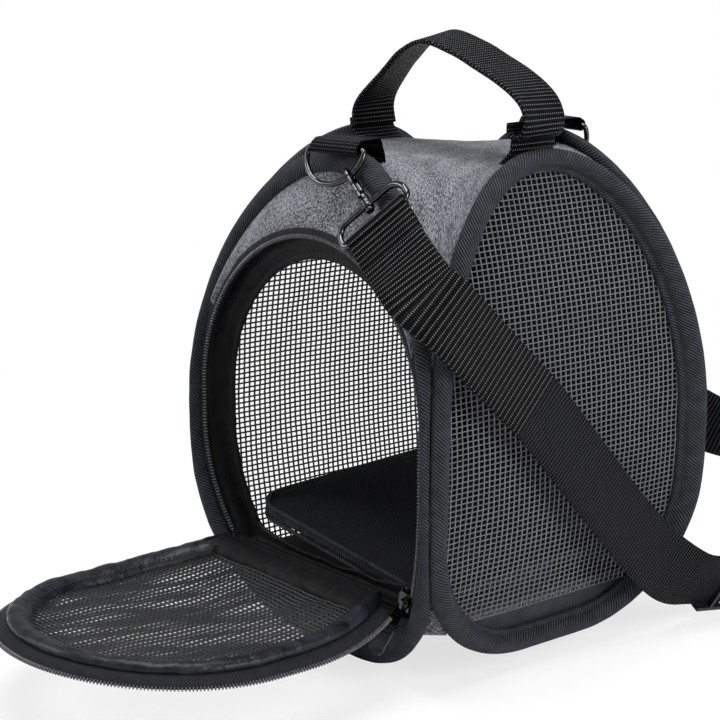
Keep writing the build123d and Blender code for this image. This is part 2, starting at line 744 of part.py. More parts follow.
fold_inner = loop_wire + bar_clearance
fold_outer = fold_inner + strap_thickness
with BuildPart() as strap_fold:
    with BuildSketch(Plane.YZ):
        with Locations((0, -loop_far_bar)):
            Circle(fold_outer)
            Rectangle(2 * strap_thickness, fold_length, align=(Align.CENTER, Align.MAX))
            Circle(fold_inner, mode=Mode.SUBTRACT)
    extrude(amount=strap_width / 2, both=True)

with BuildPart() as tab:
    with BuildSketch(Plane.XY):
        Circle(ring_wire + bar_clearance + tab_thickness / 2)
        with BuildLine():
            FilletPolyline(*tab_points, radius=tab_radii)
        trace(line_width=tab_thickness)
        Circle(ring_wire + bar_clearance, mode=Mode.SUBTRACT)
    extrude(amount=tab_width / 2, both=True)

def from_wall(point, side):
    """A point from its X, its height and how far it lies beyond a wall's fullest line."""
    x, beyond, height = point
    return (x, side * (wall_depth + beyond), height)


bar_front = from_wall((bar_front_x, -bar_recess, bar_height), -1)
bar_rear = from_wall((bar_rear_x, -bar_recess, bar_height), 1)
front_pull = from_wall(front_strap_pull, -1)
rear_pull = from_wall(rear_strap_pull, 1)
ends = {"front": hang(bar_front, bar_front_turn, front_ring_lean, front_hook_angle, front_pull),
        "rear": hang(bar_rear, bar_rear_turn, rear_ring_lean, rear_hook_angle, rear_pull)}
hook_pieces = {"hook": hook, "gate": gate, "swivel_loop": swivel_loop, "strap_fold": strap_fold}
for end, (ring_plane, hook_plane, tab_plane) in ends.items():
    save(d_ring.part.moved(ring_plane.location), f"{end}_d_ring")
    for name, piece in hook_pieces.items():
        save(piece.part.moved(hook_plane.location), f"{end}_{name}")
    save(tab.part.moved(tab_plane.location), f"{end}_tab")


# Shoulder strap
def ribbon(route, thickness):
    """Flat strap through stations, each a point and the direction of its width."""
    points = [Vector(point) for point, width in route]
    sections = []
    across = Vector(route[0][1])
    for i, (point, width) in enumerate(route):
        run = (points[min(i + 1, len(points) - 1)] - points[max(i - 1, 0)]).normalized()
        width = Vector(width)
        if width.dot(across) < 0:
            width = width * -1
        across = (width - run * width.dot(run)).normalized()
        section = Plane(origin=points[i], x_dir=across, z_dir=run)
        half, thick = strap_width / 2, thickness / 2
        corners = [(-half, -thick), (half, -thick), (half, thick), (-half, thick)]
        sections.append(Wire.make_polygon([section.from_local_coords(c) for c in corners]))
    return Solid.make_loft(sections, ruled=True)


def beyond_side(route):
    """A route with each X measured from the carrier's centre."""
    return [((wall_depth + x, y, z), width) for (x, y, z), width in route]


def strap_leaves(hook_plane):
    """Two stations where the strap leaves its fold, square to the fold."""
    away = hook_plane.z_dir * -1
    reach = loop_far_bar + fold_length + seam_gap
    return [(hook_plane.origin + away * (reach + step), hook_plane.x_dir) for step in (0, square_run)]


front_end = [*strap_leaves(ends["front"][1]), *beyond_side(front_end_route)]
main_route = beyond_side(strap_route)
strap_stations = [*main_route, *reversed(strap_leaves(ends["rear"][1]))]
save(Part() + ribbon(front_end, 2 * strap_thickness), "front_strap_end")
save(Part() + ribbon(strap_stations, strap_thickness), "shoulder_strap")

# Adjuster: a frame round the strap with its middle bar behind it
(run_start, run_width), (run_end, _) = main_route[6:8]
run_start, run_end = Vector(run_start), Vector(run_end)
run = (run_end - run_start).normalized()
across = Vector(run_width)
across = (across - run * across.dot(run)).normalized()
adjuster_plane = Plane(origin=(run_start + run_end) * 0.5, x_dir=across, z_dir=across.cross(run))
adjuster_half = strap_width / 2 + adjuster_gap
bar_lift = strap_thickness / 2 + adjuster_gap
with BuildPart() as adjuster:
    for side in (-1, 1):
        with BuildSketch(Plane.XY.offset(-bar_lift - adjuster_bar)):
            with Locations((side * (adjuster_half + adjuster_bar / 2), 0)):
                RectangleRounded(adjuster_bar, adjuster_length, adjuster_bar / 2 - 0.05)
        extrude(amount=2 * (bar_lift + adjuster_bar))
        with BuildSketch(Plane.XY.offset(bar_lift)):
            with Locations((0, side * (adjuster_length - adjuster_bar - 1) / 2)):
                Rectangle(2 * adjuster_half + adjuster_bar, adjuster_bar)
        extrude(amount=adjuster_bar)
    with BuildSketch(Plane.XY.offset(-bar_lift - adjuster_bar)):
        Rectangle(2 * adjuster_half + adjuster_bar, adjuster_bar)
    extrude(amount=adjuster_bar)
save(adjuster.part.moved(adjuster_plane.location), "strap_adjuster")

for name, piece in saved.items():
    print(name, round(piece.volume), len(piece.solids()))
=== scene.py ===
from math import asin, atan2, copysign, cos, exp, pi, radians, sin, sqrt, tan

import bpy
from mathutils import Matrix, Vector, noise


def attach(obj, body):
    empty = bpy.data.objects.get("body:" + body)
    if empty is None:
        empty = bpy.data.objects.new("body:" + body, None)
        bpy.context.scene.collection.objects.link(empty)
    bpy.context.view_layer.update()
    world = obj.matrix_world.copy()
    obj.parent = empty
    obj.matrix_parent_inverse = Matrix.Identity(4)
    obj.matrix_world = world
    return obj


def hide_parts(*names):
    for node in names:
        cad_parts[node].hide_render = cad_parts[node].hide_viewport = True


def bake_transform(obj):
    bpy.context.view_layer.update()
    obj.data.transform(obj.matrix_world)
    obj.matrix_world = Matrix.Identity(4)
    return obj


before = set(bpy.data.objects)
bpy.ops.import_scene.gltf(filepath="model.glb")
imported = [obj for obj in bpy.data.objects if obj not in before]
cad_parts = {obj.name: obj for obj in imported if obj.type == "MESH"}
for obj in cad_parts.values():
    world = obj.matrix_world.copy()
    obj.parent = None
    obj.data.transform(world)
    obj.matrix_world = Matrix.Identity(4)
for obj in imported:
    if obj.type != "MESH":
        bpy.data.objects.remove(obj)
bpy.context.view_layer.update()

# Sizes are in millimetres, as in the part's source, and become metres in each mesh
MM = 0.001
CENTRE = 89.425                     # how far the walls' centre lies behind the origin
FULLEST = 120.0                     # height at which the walls stand furthest out
WALL = (105.0, 450.362, 388.447)    # a wall's reach there, its radius above and below
ZIP = (101.5, 951.058, 308.737)     # the same for the surface that the zip lies on
SHOULDER, HIP, FOOT, HALF, HEIGHT = 125.0, 90.0, 22.0, 103.0, 279.0
LIFT = 9.0                          # the side walls' lower ends are this much higher
RIM = (13.5, 9, 10)                 # a border's width at its sides, top and bottom
DOOR_HALF, ARCH, WAIST, SIDE_R, SILL = 92.0, 139.0, 115.0, 149.0, 44.0
CROWN_HALF, CROWN_RISE = DOOR_HALF + 3.2, HEIGHT - 14 - SHOULDER     # the front border's edge over the door
HINGE_Y, HINGE_Z = -96.0, 43.0
MIDDLE, SIDE_MIDDLE = Vector((0, 130.0)), Vector((0, 125.0))


# ---------------------------------------------------------------- shapes
def depth(curve, z, off=0.0):
    """Distance from the centre to a curved wall at a height, off proud of it."""
    reach, upper, lower = curve
    r = upper if z > FULLEST else lower
    return reach - r + sqrt((r + off) ** 2 - (z - FULLEST) ** 2)


def wall_point(x, z, off=0.0, curve=WALL):
    return Vector((x, -depth(curve, z, off), z))


def turned(p, degrees_about_z):
    return Matrix.Rotation(radians(degrees_about_z), 3, "Z") @ p


def wall_outline(t, side, top, bottom, lift=0.0):
    """Point of a wall's arched outline, t from 0 at the top once round, clockwise."""
    half = HALF - side
    low = lift + bottom
    rise = HEIGHT - top - SHOULDER
    t = t % 1.0
    sign = 1 if t <= 0.5 else -1
    u = t if t <= 0.5 else 1 - t
    if u < 0.2:
        a = u / 0.2 * pi / 2
        return Vector((sign * half * sin(a), SHOULDER + rise * cos(a)))
    if u < 0.23:
        return Vector((sign * half, SHOULDER + (HIP - SHOULDER) * (u - 0.2) / 0.03))
    if u < 0.44:
        a = (u - 0.23) / 0.21 * pi / 2
        return Vector((sign * (FOOT + (half - FOOT) * cos(a)), HIP - (HIP - low) * sin(a)))
    return Vector((sign * FOOT * (0.5 - u) / 0.06, low))


def outline(count, side, top, bottom, lift=0.0):
    """Even points round a wall's arched outline."""
    return [wall_outline(i / count, side, top, bottom, lift) for i in range(count)]


def arc(x, y, r, first, last, steps):
    """Points of an arc round a centre, between two angles in degrees."""
    angles = [radians(first + (last - first) * i / steps) for i in range(steps + 1)]
    return [Vector((x + r * cos(a), y + r * sin(a))) for a in angles]


def filled(points, gap):
    """A closed line's points, with more between those that lie twice a gap apart or further."""
    line = []
    for p, q in zip(points, points[1:] + points[:1]):
        n = max(1, int((q - p).length / gap))
        line += [p.lerp(q, k / n) for k in range(n)]
    return line


def door_path(grow, start=None, steps=(28, 6, 72)):
    """Points of the zipped arch from its right-hand foot, over the top, to its left-hand foot."""
    centre = DOOR_HALF - SIDE_R
    radius = SIDE_R + grow
    start = SILL - grow if start is None else start
    fall = asin((WAIST - start) / radius)
    side, straight, over = steps
    right = []
    for i in range(side):
        a = -fall * (1 - i / side)
        right.append(Vector((centre + radius * cos(a), WAIST + radius * sin(a))))
    half = DOOR_HALF + grow
    right += [Vector((half, WAIST + (ARCH - WAIST) * i / straight)) for i in range(straight)]
    top = [Vector((half * cos(pi * i / over), ARCH + half * sin(pi * i / over))) for i in range(over + 1)]
    return right + top + [Vector((-p.x, p.y)) for p in reversed(right)]


def polar(points, centre):
    """Radius of a star-shaped outline as a function of the angle round a centre."""
    table = sorted((atan2(p.y - centre.y, p.x - centre.x), (p - centre).length) for p in points)
    first, last = table[0], table[-1]
    table = [(last[0] - 2 * pi, last[1])] + table + [(first[0] + 2 * pi, first[1])]

    def radius(angle):
        for (a, ra), (b, rb) in zip(table, table[1:]):
            if a <= angle <= b:
                return ra if b == a else ra + (rb - ra) * (angle - a) / (b - a)
        return table[0][1]
    return radius


def inside(points, centre, grow=0.0):
    """Test of whether a point lies inside a star-shaped outline."""
    radius = polar(points, centre)

    def test(x, z):
        way = Vector((x, z)) - centre
        return way.length < radius(atan2(way.y, way.x)) + grow
    return test


def crumple(p, scale, seed=0.0):
    """Smooth random height, between about -1 and 1."""
    return noise.noise(Vector(p) / scale + Vector((seed, seed * 1.7, -seed)))


# ---------------------------------------------------------------- meshes
def metres(p):
    """A point in millimetres from the walls' centre, as a place in the scene."""
    return p.x * MM, (p.y + CENTRE) * MM, p.z * MM


def added(name, data):
    """A new object in the scene."""
    made = bpy.data.objects.new(name, data)
    bpy.context.scene.collection.objects.link(made)
    return made


def result_of(piece):
    """The mesh that a piece's modifiers make."""
    graph = bpy.context.evaluated_depsgraph_get()
    return bpy.data.meshes.new_from_object(piece.evaluated_get(graph), depsgraph=graph)


def smooth_shaded(mesh):
    mesh.polygons.foreach_set("use_smooth", [True] * len(mesh.polygons))


def grid_piece(name, rows, wrap_rows=False, wrap_line=False, flip=False, caps=False):
    """Mesh through rows of points, with a UV map in millimetres along and across."""
    mesh = bpy.data.meshes.new(name)
    n, m = len(rows), len(rows[0])
    row_count = n if wrap_rows else n - 1
    line_count = m if wrap_line else m - 1
    probes = range(0, m, max(1, m // 6))
    travelled = [0.0]
    for i in range(row_count):
        a, b = rows[i], rows[(i + 1) % n]
        travelled.append(travelled[-1] + sum((b[j] - a[j]).length for j in probes) / len(probes))
    across = []
    for row in rows:
        reach = [0.0]
        for j in range(line_count):
            reach.append(reach[-1] + (row[(j + 1) % m] - row[j]).length)
        across.append(reach)
    faces, corners = [], []
    for i in range(row_count):
        for j in range(line_count):
            i2, j2 = (i + 1) % n, (j + 1) % m
            quad = [i * m + j, i2 * m + j, i2 * m + j2, i * m + j2]
            uv = [(travelled[i], across[i][j]), (travelled[i + 1], across[i2][j]),
                  (travelled[i + 1], across[i2][j + 1]), (travelled[i], across[i][j + 1])]
            faces.append(quad[::-1] if flip else quad)
            corners += uv[::-1] if flip else uv
    if caps:
        for i, order in ((0, 1), (n - 1, -1)):
            ring = [i * m + j for j in range(m)][::order]
            faces.append(ring[::-1] if flip else ring)
            corners += [(0.0, 0.0)] * m
    mesh.from_pydata([metres(p) for row in rows for p in row], [], faces)
    layer = mesh.uv_layers.new(name="weave")
    for loop, uv in zip(layer.data, corners):
        loop.uv = uv
    smooth_shaded(mesh)
    mesh.update()
    return added(name, mesh)


def lay_flat(piece, across, up):
    """Weave that runs straight over a panel: its UV map from two directions, in millimetres."""
    mesh = piece.data
    layer = mesh.uv_layers["weave"].data
    for loop in mesh.loops:
        p = mesh.vertices[loop.vertex_index].co / MM
        layer[loop.index].uv = (p.dot(Vector(across)), p.dot(Vector(up)))


def join(name, pieces):
    """One mesh object out of several, keeping their UV maps."""
    target = pieces[0]
    if len(pieces) > 1:
        with bpy.context.temp_override(active_object=target, selected_editable_objects=pieces,
                                       selected_objects=pieces):
            bpy.ops.object.join()
    target.name = target.data.name = name
    return target


def finish_piece(piece, body, slot, material, *nodes):
    """Give a piece its finish and its body, and hide the nodes that it stands for."""
    if material is not None:
        piece.data.materials.clear()
        piece.data.materials.append(material)
    if body:
        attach(piece, body)
    if nodes:
        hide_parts(*nodes)
    return piece


def closed_cloth(name, rows, inward, thickness, flip=False):
    """Closed skin: rows of points in front, the same rows set back by the thickness behind."""
    loop = [list(row) + [p + v * thickness for p, v in zip(reversed(row), reversed(back))]
            for row, back in zip(rows, inward)]
    return grid_piece(name, loop, wrap_line=True, caps=True, flip=flip)


# ---------------------------------------------------------------- nodes
def tree_of(name, kind, inputs, outputs):
    """A node tree with named inputs and outputs."""
    tree = bpy.data.node_groups.new(name, kind)
    for way, sockets in (("INPUT", inputs), ("OUTPUT", outputs)):
        for label, socket_kind, value in sockets:
            socket = tree.interface.new_socket(label, in_out=way, socket_type=socket_kind)
            if value is not None:
                socket.default_value = value
    return tree, tree.nodes.new("NodeGroupInput").outputs, tree.nodes.new("NodeGroupOutput").inputs


def numbers(**values):
    """Number inputs of a tree with their usual values."""
    return [(label, "NodeSocketFloat", value) for label, value in values.items()]


def node(tree, kind, **inputs):
    """A node with its inputs set, or linked where the value is another node's output."""
    made = tree.nodes.new(kind)
    for label, value in inputs.items():
        socket = made.inputs[label.replace("_", " ")]
        if isinstance(value, Value):
            value = value.socket
        if isinstance(value, bpy.types.NodeSocket):
            tree.links.new(value, socket)
        else:
            socket.default_value = value
    return made


class Value:
    """A number that a tree works out, so that its Math nodes read as a sum."""

    def __init__(self, tree, socket):
        self.tree, self.socket = tree, socket

    def step(self, operation, *others):
        made = self.tree.nodes.new("ShaderNodeMath")
        made.operation = operation
        for place, value in zip(made.inputs, (self, *others)):
            if isinstance(value, Value):
                self.tree.links.new(value.socket, place)
            else:
                place.default_value = value
        return Value(self.tree, made.outputs[0])

    def __add__(self, other):
        return self.step("ADD", other)

    def __sub__(self, other):
        return self.step("SUBTRACT", other)

    def __mul__(self, other):
        return self.step("MULTIPLY", other)

    def __truediv__(self, other):
        return self.step("DIVIDE", other)

    def __pow__(self, other):
        return self.step("POWER", other)

    def ribs(self):
        """Rounded ribs: 0 at each whole number and 1 midway."""
        return (self * pi).step("SINE").step("ABSOLUTE")


SHAPE = [("Geometry", "NodeSocketGeometry", None)]
COAT = [("Finish", "NodeSocketMaterial", None)]


def close_tree(tree, start, end, shape):
    """End a tree as each one here ends: realized, shaded smooth, and in its piece's finish."""
    real = node(tree, "GeometryNodeRealizeInstances", Geometry=shape)
    smooth = node(tree, "GeometryNodeSetShadeSmooth", Geometry=real.outputs["Geometry"])
    coat = node(tree, "GeometryNodeSetMaterial", Geometry=smooth.outputs["Geometry"], Material=start["Finish"])
    tree.links.new(coat.outputs["Geometry"], end["Geometry"])
    return tree


def thread_tree():
    """Round strands along curves: mesh strands, wires and welts."""
    inputs = [*SHAPE, *numbers(Radius=0.0005), ("Sides", "NodeSocketInt", 6), *COAT]
    tree, start, end = tree_of("threads along curves", "GeometryNodeTree", inputs, SHAPE)
    ring = node(tree, "GeometryNodeCurvePrimitiveCircle", Resolution=start["Sides"], Radius=start["Radius"])
    tube = node(tree, "GeometryNodeCurveToMesh", Curve=start["Geometry"], Profile_Curve=ring.outputs["Curve"],
                Fill_Caps=True)
    return close_tree(tree, start, end, tube.outputs["Mesh"])


def repeat_tree():
    """One rounded grain at each point, turned by the point's own directions: zip teeth and stitches."""
    inputs = [*SHAPE, *numbers(Length=0.001, Width=0.001, Height=0.001), *COAT]
    tree, start, end = tree_of("grains along a row", "GeometryNodeTree", inputs, SHAPE)
    grain = node(tree, "GeometryNodeMeshUVSphere", Segments=8, Rings=5, Radius=0.5)
    size = node(tree, "ShaderNodeCombineXYZ", X=start["Length"], Y=start["Width"], Z=start["Height"])
    sized = node(tree, "GeometryNodeTransform", Geometry=grain.outputs["Mesh"], Scale=size.outputs["Vector"])
    points = node(tree, "GeometryNodeMeshToPoints", Mesh=start["Geometry"])
    aim = node(tree, "FunctionNodeAxesToRotation")
    aim.primary_axis, aim.secondary_axis = "Z", "X"
    for label, axis in (("face", "Primary Axis"), ("run", "Secondary Axis")):
        stored = node(tree, "GeometryNodeInputNamedAttribute", Name=label)
        stored.data_type = "FLOAT_VECTOR"
        tree.links.new(stored.outputs["Attribute"], aim.inputs[axis])
    row = node(tree, "GeometryNodeInstanceOnPoints", Points=points.outputs["Points"],
               Instance=sized.outputs["Geometry"], Rotation=aim.outputs["Rotation"])
    return close_tree(tree, start, end, row.outputs["Instances"])


THREADS, REPEATS = thread_tree(), repeat_tree()


def grown(name, data, tree, material, **sizes):
    """Run a tree on a curve or mesh and keep the result as a plain mesh."""
    source = added(name, data)
    step = source.modifiers.new("grow", "NODES")
    step.node_group = tree
    for item in tree.interface.items_tree:
        if item.item_type == "SOCKET" and item.in_out == "INPUT":
            if item.name == "Finish":
                step[item.identifier] = material
            elif item.name in sizes:
                step[item.identifier] = sizes[item.name]
    bpy.context.evaluated_depsgraph_get().update()
    mesh = result_of(source)
    source.modifiers.remove(step)
    bpy.data.objects.remove(source)
    (bpy.data.curves if isinstance(data, bpy.types.Curve) else bpy.data.meshes).remove(data)
    mesh.name = name
    return added(name, mesh)


def threads(name, lines, radius, sides, material, closed=()):
    """Strands of one radius along lists of points."""
    curve = bpy.data.curves.new(name, "CURVE")
    curve.dimensions = "3D"
    for index, line in enumerate(lines):
        spline = curve.splines.new("POLY")
        spline.points.add(len(line) - 1)
        for point, p in zip(spline.points, line):
            point.co = (*metres(p), 1)
        spline.use_cyclic_u = index in closed
    return grown(name, curve, THREADS, material, Radius=radius * MM, Sides=sides)


def along(points, pitch, first=0.5):
    """Even stations along a line of points: place and direction of run."""
    total, marks = 0.0, []
    want = pitch * first
    for a, b in zip(points, points[1:]):
        step = (b - a).length
        if step < 1e-6:
            continue
        while want <= total + step:
            marks.append((a.lerp(b, (want - total) / step), (b - a).normalized()))
            want += pitch
        total += step
    return marks


def grains(name, stations, length, width, height, material):
    """Rounded grains at stations of place, run and face."""
    mesh = bpy.data.meshes.new(name)
    mesh.from_pydata([metres(station[0]) for station in stations], [], [])
    for label, index in (("run", 1), ("face", 2)):
        data = mesh.attributes.new(label, "FLOAT_VECTOR", "POINT")
        data.data.foreach_set("vector", [c for station in stations for c in station[index]])
    return grown(name, mesh, REPEATS, material, Length=length * MM, Width=width * MM, Height=height * MM)


# ---------------------------------------------------------------- finishes
PLACE = [("Place", "NodeSocketVector", None)]


def noise_of(tree, place, scale, detail, **rest):
    """Soft random patches over a place."""
    made = node(tree, "ShaderNodeTexNoise", Vector=place, Scale=scale, Detail=detail, **rest)
    return Value(tree, made.outputs["Fac"])


def cloth_tree(name, sizes, outputs):
    """A group for a woven pattern: its tree, inputs, outputs, and the place across and along it."""
    tree, start, end = tree_of(name, "ShaderNodeTree", PLACE + numbers(**sizes),
                               [(label, "NodeSocketFloat", None) for label in outputs])
    split = node(tree, "ShaderNodeSeparateXYZ", Vector=start["Place"])
    return tree, start, end, *(Value(tree, split.outputs[axis]) for axis in "XY")


def put_out(tree, end, **values):
    """Link a group's results to its outputs."""
    for label, value in values.items():
        tree.links.new(value.socket, end[label])
    return tree


def twill_group():
    """Diagonal twill: ribs of threads crossing at a slant, as a height from 0 to 1, and a shade that paints highlight
    on the rib crests, patchy at random.
    """
    tree, start, end, x, y = cloth_tree("twill weave", {"Rib": 1.1, "Thread": 0.55}, ("Height", "Shade"))
    slant = ((x + y * 0.8) / Value(tree, start["Rib"])).ribs()
    beads = ((y - x * 0.45) / Value(tree, start["Thread"])).ribs()
    height = slant * 0.62 + slant * beads * 0.38
    cloud = noise_of(tree, start["Place"], 0.16, 4.0)
    return put_out(tree, end, Height=height, Shade=height * (cloud * 0.7 + 0.45))


def heather_group():
    """Heather cloth: pale and dark yarns both ways, longer slubs, and a fine plain weave."""
    tree, start, end, x, y = cloth_tree("heather weave", {"Yarn": 0.7}, ("Height", "Fleck"))
    yarns = []
    for squeeze in ((1.15, 0.5, 1.0), (0.5, 1.15, 1.0), (0.8, 0.1, 1.0), (0.1, 0.8, 1.0)):
        stretch = node(tree, "ShaderNodeMapping", Vector=start["Place"], Scale=squeeze)
        yarns.append(noise_of(tree, stretch.outputs["Vector"], 1.0, 3.0, Roughness=0.75))
    flecks = (yarns[0] + yarns[1]) * 0.5
    slubs = yarns[2] + yarns[3] - 1.0
    cloud = noise_of(tree, start["Place"], 0.07, 3.0)
    mottle = (flecks - 0.5) * 5.5 + 0.42 + slubs * 0.5 + (cloud - 0.5) * 0.7
    yarn = Value(tree, start["Yarn"])
    weave = (x / yarn).ribs() * (y / yarn).ribs()
    return put_out(tree, end, Height=weave * 0.6 + flecks * 0.6, Fleck=mottle)


def webbing_group():
    """Webbing: rounded ribs across the strap, dotted by the binding warp, with a painted highlight on the rib crests at
    the dots.
    """
    tree, start, end, x, y = cloth_tree("ribbed webbing", {"Rib": 2.0, "Dot": 1.1}, ("Height", "Shine"))
    run = x / Value(tree, start["Rib"])
    ribs = run.ribs()
    cord = ribs ** 0.6
    dots = (y / Value(tree, start["Dot"]) + run.step("FLOOR") * 0.5).ribs()
    return put_out(tree, end, Height=cord * 0.75 + dots * cord * 0.25, Shine=ribs ** 6.0 * dots ** 3.0)


TWILL, HEATHER, WEBBING = twill_group(), heather_group(), webbing_group()


def blank(name, roughness=0.6, metallic=0.0, **sockets):
    """A material with a Principled shader; constants go straight on its sockets."""
    material = bpy.data.materials.new(name)
    material.use_nodes = True
    shader = material.node_tree.nodes["Principled BSDF"]
    for label, value in {"Roughness": roughness, "Metallic": metallic, **sockets}.items():
        shader.inputs[label.replace("_", " ")].default_value = value
    return material, material.node_tree, shader


def coloured(tree, shader, factor, *stops):
    """Base colour from a ramp of places and colours."""
    ramp = node(tree, "ShaderNodeValToRGB", Fac=factor)
    while len(ramp.color_ramp.elements) < len(stops):
        ramp.color_ramp.elements.new(0.5)
    for element, (at, colour) in zip(ramp.color_ramp.elements, stops):
        element.position = at
        element.color = (*colour, 1)
    tree.links.new(ramp.outputs["Color"], shader.inputs["Base Color"])


def bump(tree, shader, height, strength, distance):
    raised = node(tree, "ShaderNodeBump", Strength=strength, Distance=distance * MM, Height=height)
    tree.links.new(raised.outputs["Normal"], shader.inputs["Normal"])


def uv_place(tree):
    """The piece's own UV map, in millimetres."""
    uv = tree.nodes.new("ShaderNodeUVMap")
    uv.uv_map = "weave"
    return uv.outputs["UV"]


def solid_place(tree):
    """Object coordinates, in millimetres."""
    place = tree.nodes.new("ShaderNodeTexCoord")
    return node(tree, "ShaderNodeMapping", Vector=place.outputs["Object"],
                Scale=(1 / MM, 1 / MM, 1 / MM)).outputs["Vector"]


def woven(tree, group, place, **sizes):
    """A weave's group placed in a material with its own sizes."""
    weave = tree.nodes.new("ShaderNodeGroup")
    weave.node_tree = group
    for label, value in sizes.items():
        weave.inputs[label].default_value = value
    tree.links.new(place, weave.inputs["Place"])
    return weave.outputs


def twill_finish(name, dark, light, rib=1.1, roughness=0.66, strength=0.7, gloss=0.16, flat=True):
    material, tree, shader = blank(name, roughness, Sheen_Weight=0.03, Sheen_Roughness=0.45,
                                   Specular_IOR_Level=gloss, Sheen_Tint=(0.55, 0.65, 0.9, 1))
    weave = woven(tree, TWILL, uv_place(tree) if flat else solid_place(tree), Rib=rib, Thread=rib / 2)
    # The rib crests take the light colour: painted highlight on the twill
    coloured(tree, shader, weave["Shade"], (0.3, dark), (0.85, light))
    bump(tree, shader, weave["Height"], strength, rib * 0.25)
    return material


def heather_finish(name, dark, light):
    material, tree, shader = blank(name, 0.85, Sheen_Weight=0.08, Sheen_Roughness=0.6, Specular_IOR_Level=0.15)
    weave = woven(tree, HEATHER, uv_place(tree))
    middle = tuple((a + b) / 2 for a, b in zip(dark, light))
    coloured(tree, shader, weave["Fleck"], (0.12, dark), (0.5, middle), (0.92, light))
    bump(tree, shader, weave["Height"], 0.6, 0.2)
    return material


def webbing_finish(name, rib, dot, dark, light):
    material, tree, shader = blank(name, 0.5, Specular_IOR_Level=0.07)
    weave = woven(tree, WEBBING, uv_place(tree), Rib=rib, Dot=dot)
    # Dark webbing, with the light colour painted as highlight on the rib crests
    coloured(tree, shader, weave["Shine"], (0.0, dark), (0.45, dark), (1.0, light))
    bump(tree, shader, weave["Height"], 0.9, rib * 0.28)
    return material


def satin_finish(name, dark, light, roughness=0.38, gloss=0.22):
    """Smooth lining cloth with soft creases, its colour painted lighter on their ridges and darker in their hollows as
    sheen and shade.
    """
    material, tree, shader = blank(name, roughness, Sheen_Weight=0.02, Sheen_Roughness=0.35,
                                   Specular_IOR_Level=gloss)
    place = solid_place(tree)
    crease_and_painted_sheen = noise_of(tree, place, 0.09, 5.0, Distortion=0.8)
    thread = noise_of(tree, place, 1.6, 2.0)
    # Painted sheen on the crease ridges and painted shade in their hollows
    coloured(tree, shader, crease_and_painted_sheen, (0.3, dark), (0.7, light))
    bump(tree, shader, crease_and_painted_sheen * 1.0 + thread * 0.08, 0.55, 2.2)
    return material


def metal_finish(name, colour, roughness, worn, dents=0.08):
    """Plated metal that wear dulls in patches."""
    material, tree, shader = blank(name, roughness, 1.0)
    wear = noise_of(tree, solid_place(tree), 0.5, 5.0)
    coloured(tree, shader, wear, (0.35, colour), (0.75, worn))
    rough = node(tree, "ShaderNodeMapRange", Value=wear, To_Min=roughness * 0.7, To_Max=roughness * 1.5)
    tree.links.new(rough.outputs["Result"], shader.inputs["Roughness"])
    bump(tree, shader, wear, dents, 0.2)
    return material


def plastic_finish(name, dark, light, roughness, grain, strength):
    material, tree, shader = blank(name, roughness)
    skin = noise_of(tree, solid_place(tree), grain, 3.0)
    coloured(tree, shader, skin, (0.3, dark), (0.7, light))
    bump(tree, shader, skin, strength, 0.15)
    return material


# A twill's light colour is the painted highlight on its rib crests
BLACK_TWILL = twill_finish("black twill", (0.0008, 0.0009, 0.0013), (0.058, 0.063, 0.078), rib=1.9, strength=1.0)
LOWER_TWILL = twill_finish("fine twill", (0.001, 0.0012, 0.0018), (0.055, 0.062, 0.08), rib=1.6,
                           roughness=0.45, gloss=0.3)
# Darker copy of the mat's twill for its top and underside: painted shade inside the carrier
MAT_TWILL_PAINTED_SHADE = twill_finish("mat twill in painted shade", (0.0005, 0.0006, 0.0009), (0.008, 0.0085, 0.011), rib=1.9,
                         roughness=0.75, flat=False)
MAT_EDGE = twill_finish("mat welt twill", (0.0008, 0.0009, 0.0013), (0.05, 0.053, 0.064), rib=1.9,
                        strength=1.0, flat=False)
HEATHER_CLOTH = heather_finish("heather cloth", (0.006, 0.007, 0.010), (0.28, 0.29, 0.326))
BLACK_SATIN = satin_finish("black lining", (0.0006, 0.0007, 0.001), (0.004, 0.0044, 0.006), 0.5, 0.12)
DOOR_SATIN = satin_finish("door binding cloth", (0.0012, 0.0016, 0.0024), (0.014, 0.0175, 0.024), 0.36)
# A webbing's light colour is the painted highlight on its rib crests
COARSE_WEB = webbing_finish("coarse webbing", 3.4, 1.25, (0.0008, 0.0008, 0.0012), (0.24, 0.245, 0.26))
FINE_WEB = webbing_finish("fine webbing", 2.2, 1.3, (0.001, 0.0011, 0.0016), (0.14, 0.145, 0.16))
HANDLE_WEB = webbing_finish("handle webbing", 2.6, 1.6, (0.001, 0.0011, 0.0016), (0.22, 0.225, 0.24))
MESH_STRAND = plastic_finish("mesh strand", (0.003, 0.0033, 0.004), (0.016, 0.017, 0.021), 0.3, 1.0, 0.1)
# Lit copy of the black mesh strand: its pale colour is painted highlight
LIT_STRAND_PAINTED = plastic_finish("black mesh strand painted lit", (0.075, 0.078, 0.086), (0.16, 0.165, 0.178), 0.3, 1.0, 0.1)
ZIP_TAPE = twill_finish("zip tape", (0.001, 0.0012, 0.0018), (0.022, 0.024, 0.031), rib=1.3)
ZIP_TEETH = plastic_finish("zip coil", (0.02, 0.02, 0.023), (0.13, 0.13, 0.14), 0.15, 1.5, 0.1)
THREAD = plastic_finish("sewing thread", (0.004, 0.0043, 0.006), (0.018, 0.019, 0.024), 0.5, 3.0, 0.3)
GUNMETAL = metal_finish("dark nickel plate", (0.075, 0.075, 0.082), 0.1, (0.045, 0.045, 0.05))
ZIP_METAL = metal_finish("black lacquered metal", (0.1, 0.1, 0.108), 0.09, (0.16, 0.16, 0.168), 0.02)
BOARD = plastic_finish("stiffener board", (0.02, 0.02, 0.022), (0.045, 0.045, 0.05), 0.7, 1.2, 0.3)
BUCKLE = plastic_finish("moulded buckle", (0.006, 0.006, 0.008), (0.012, 0.012, 0.015), 0.3, 1.8, 0.12)


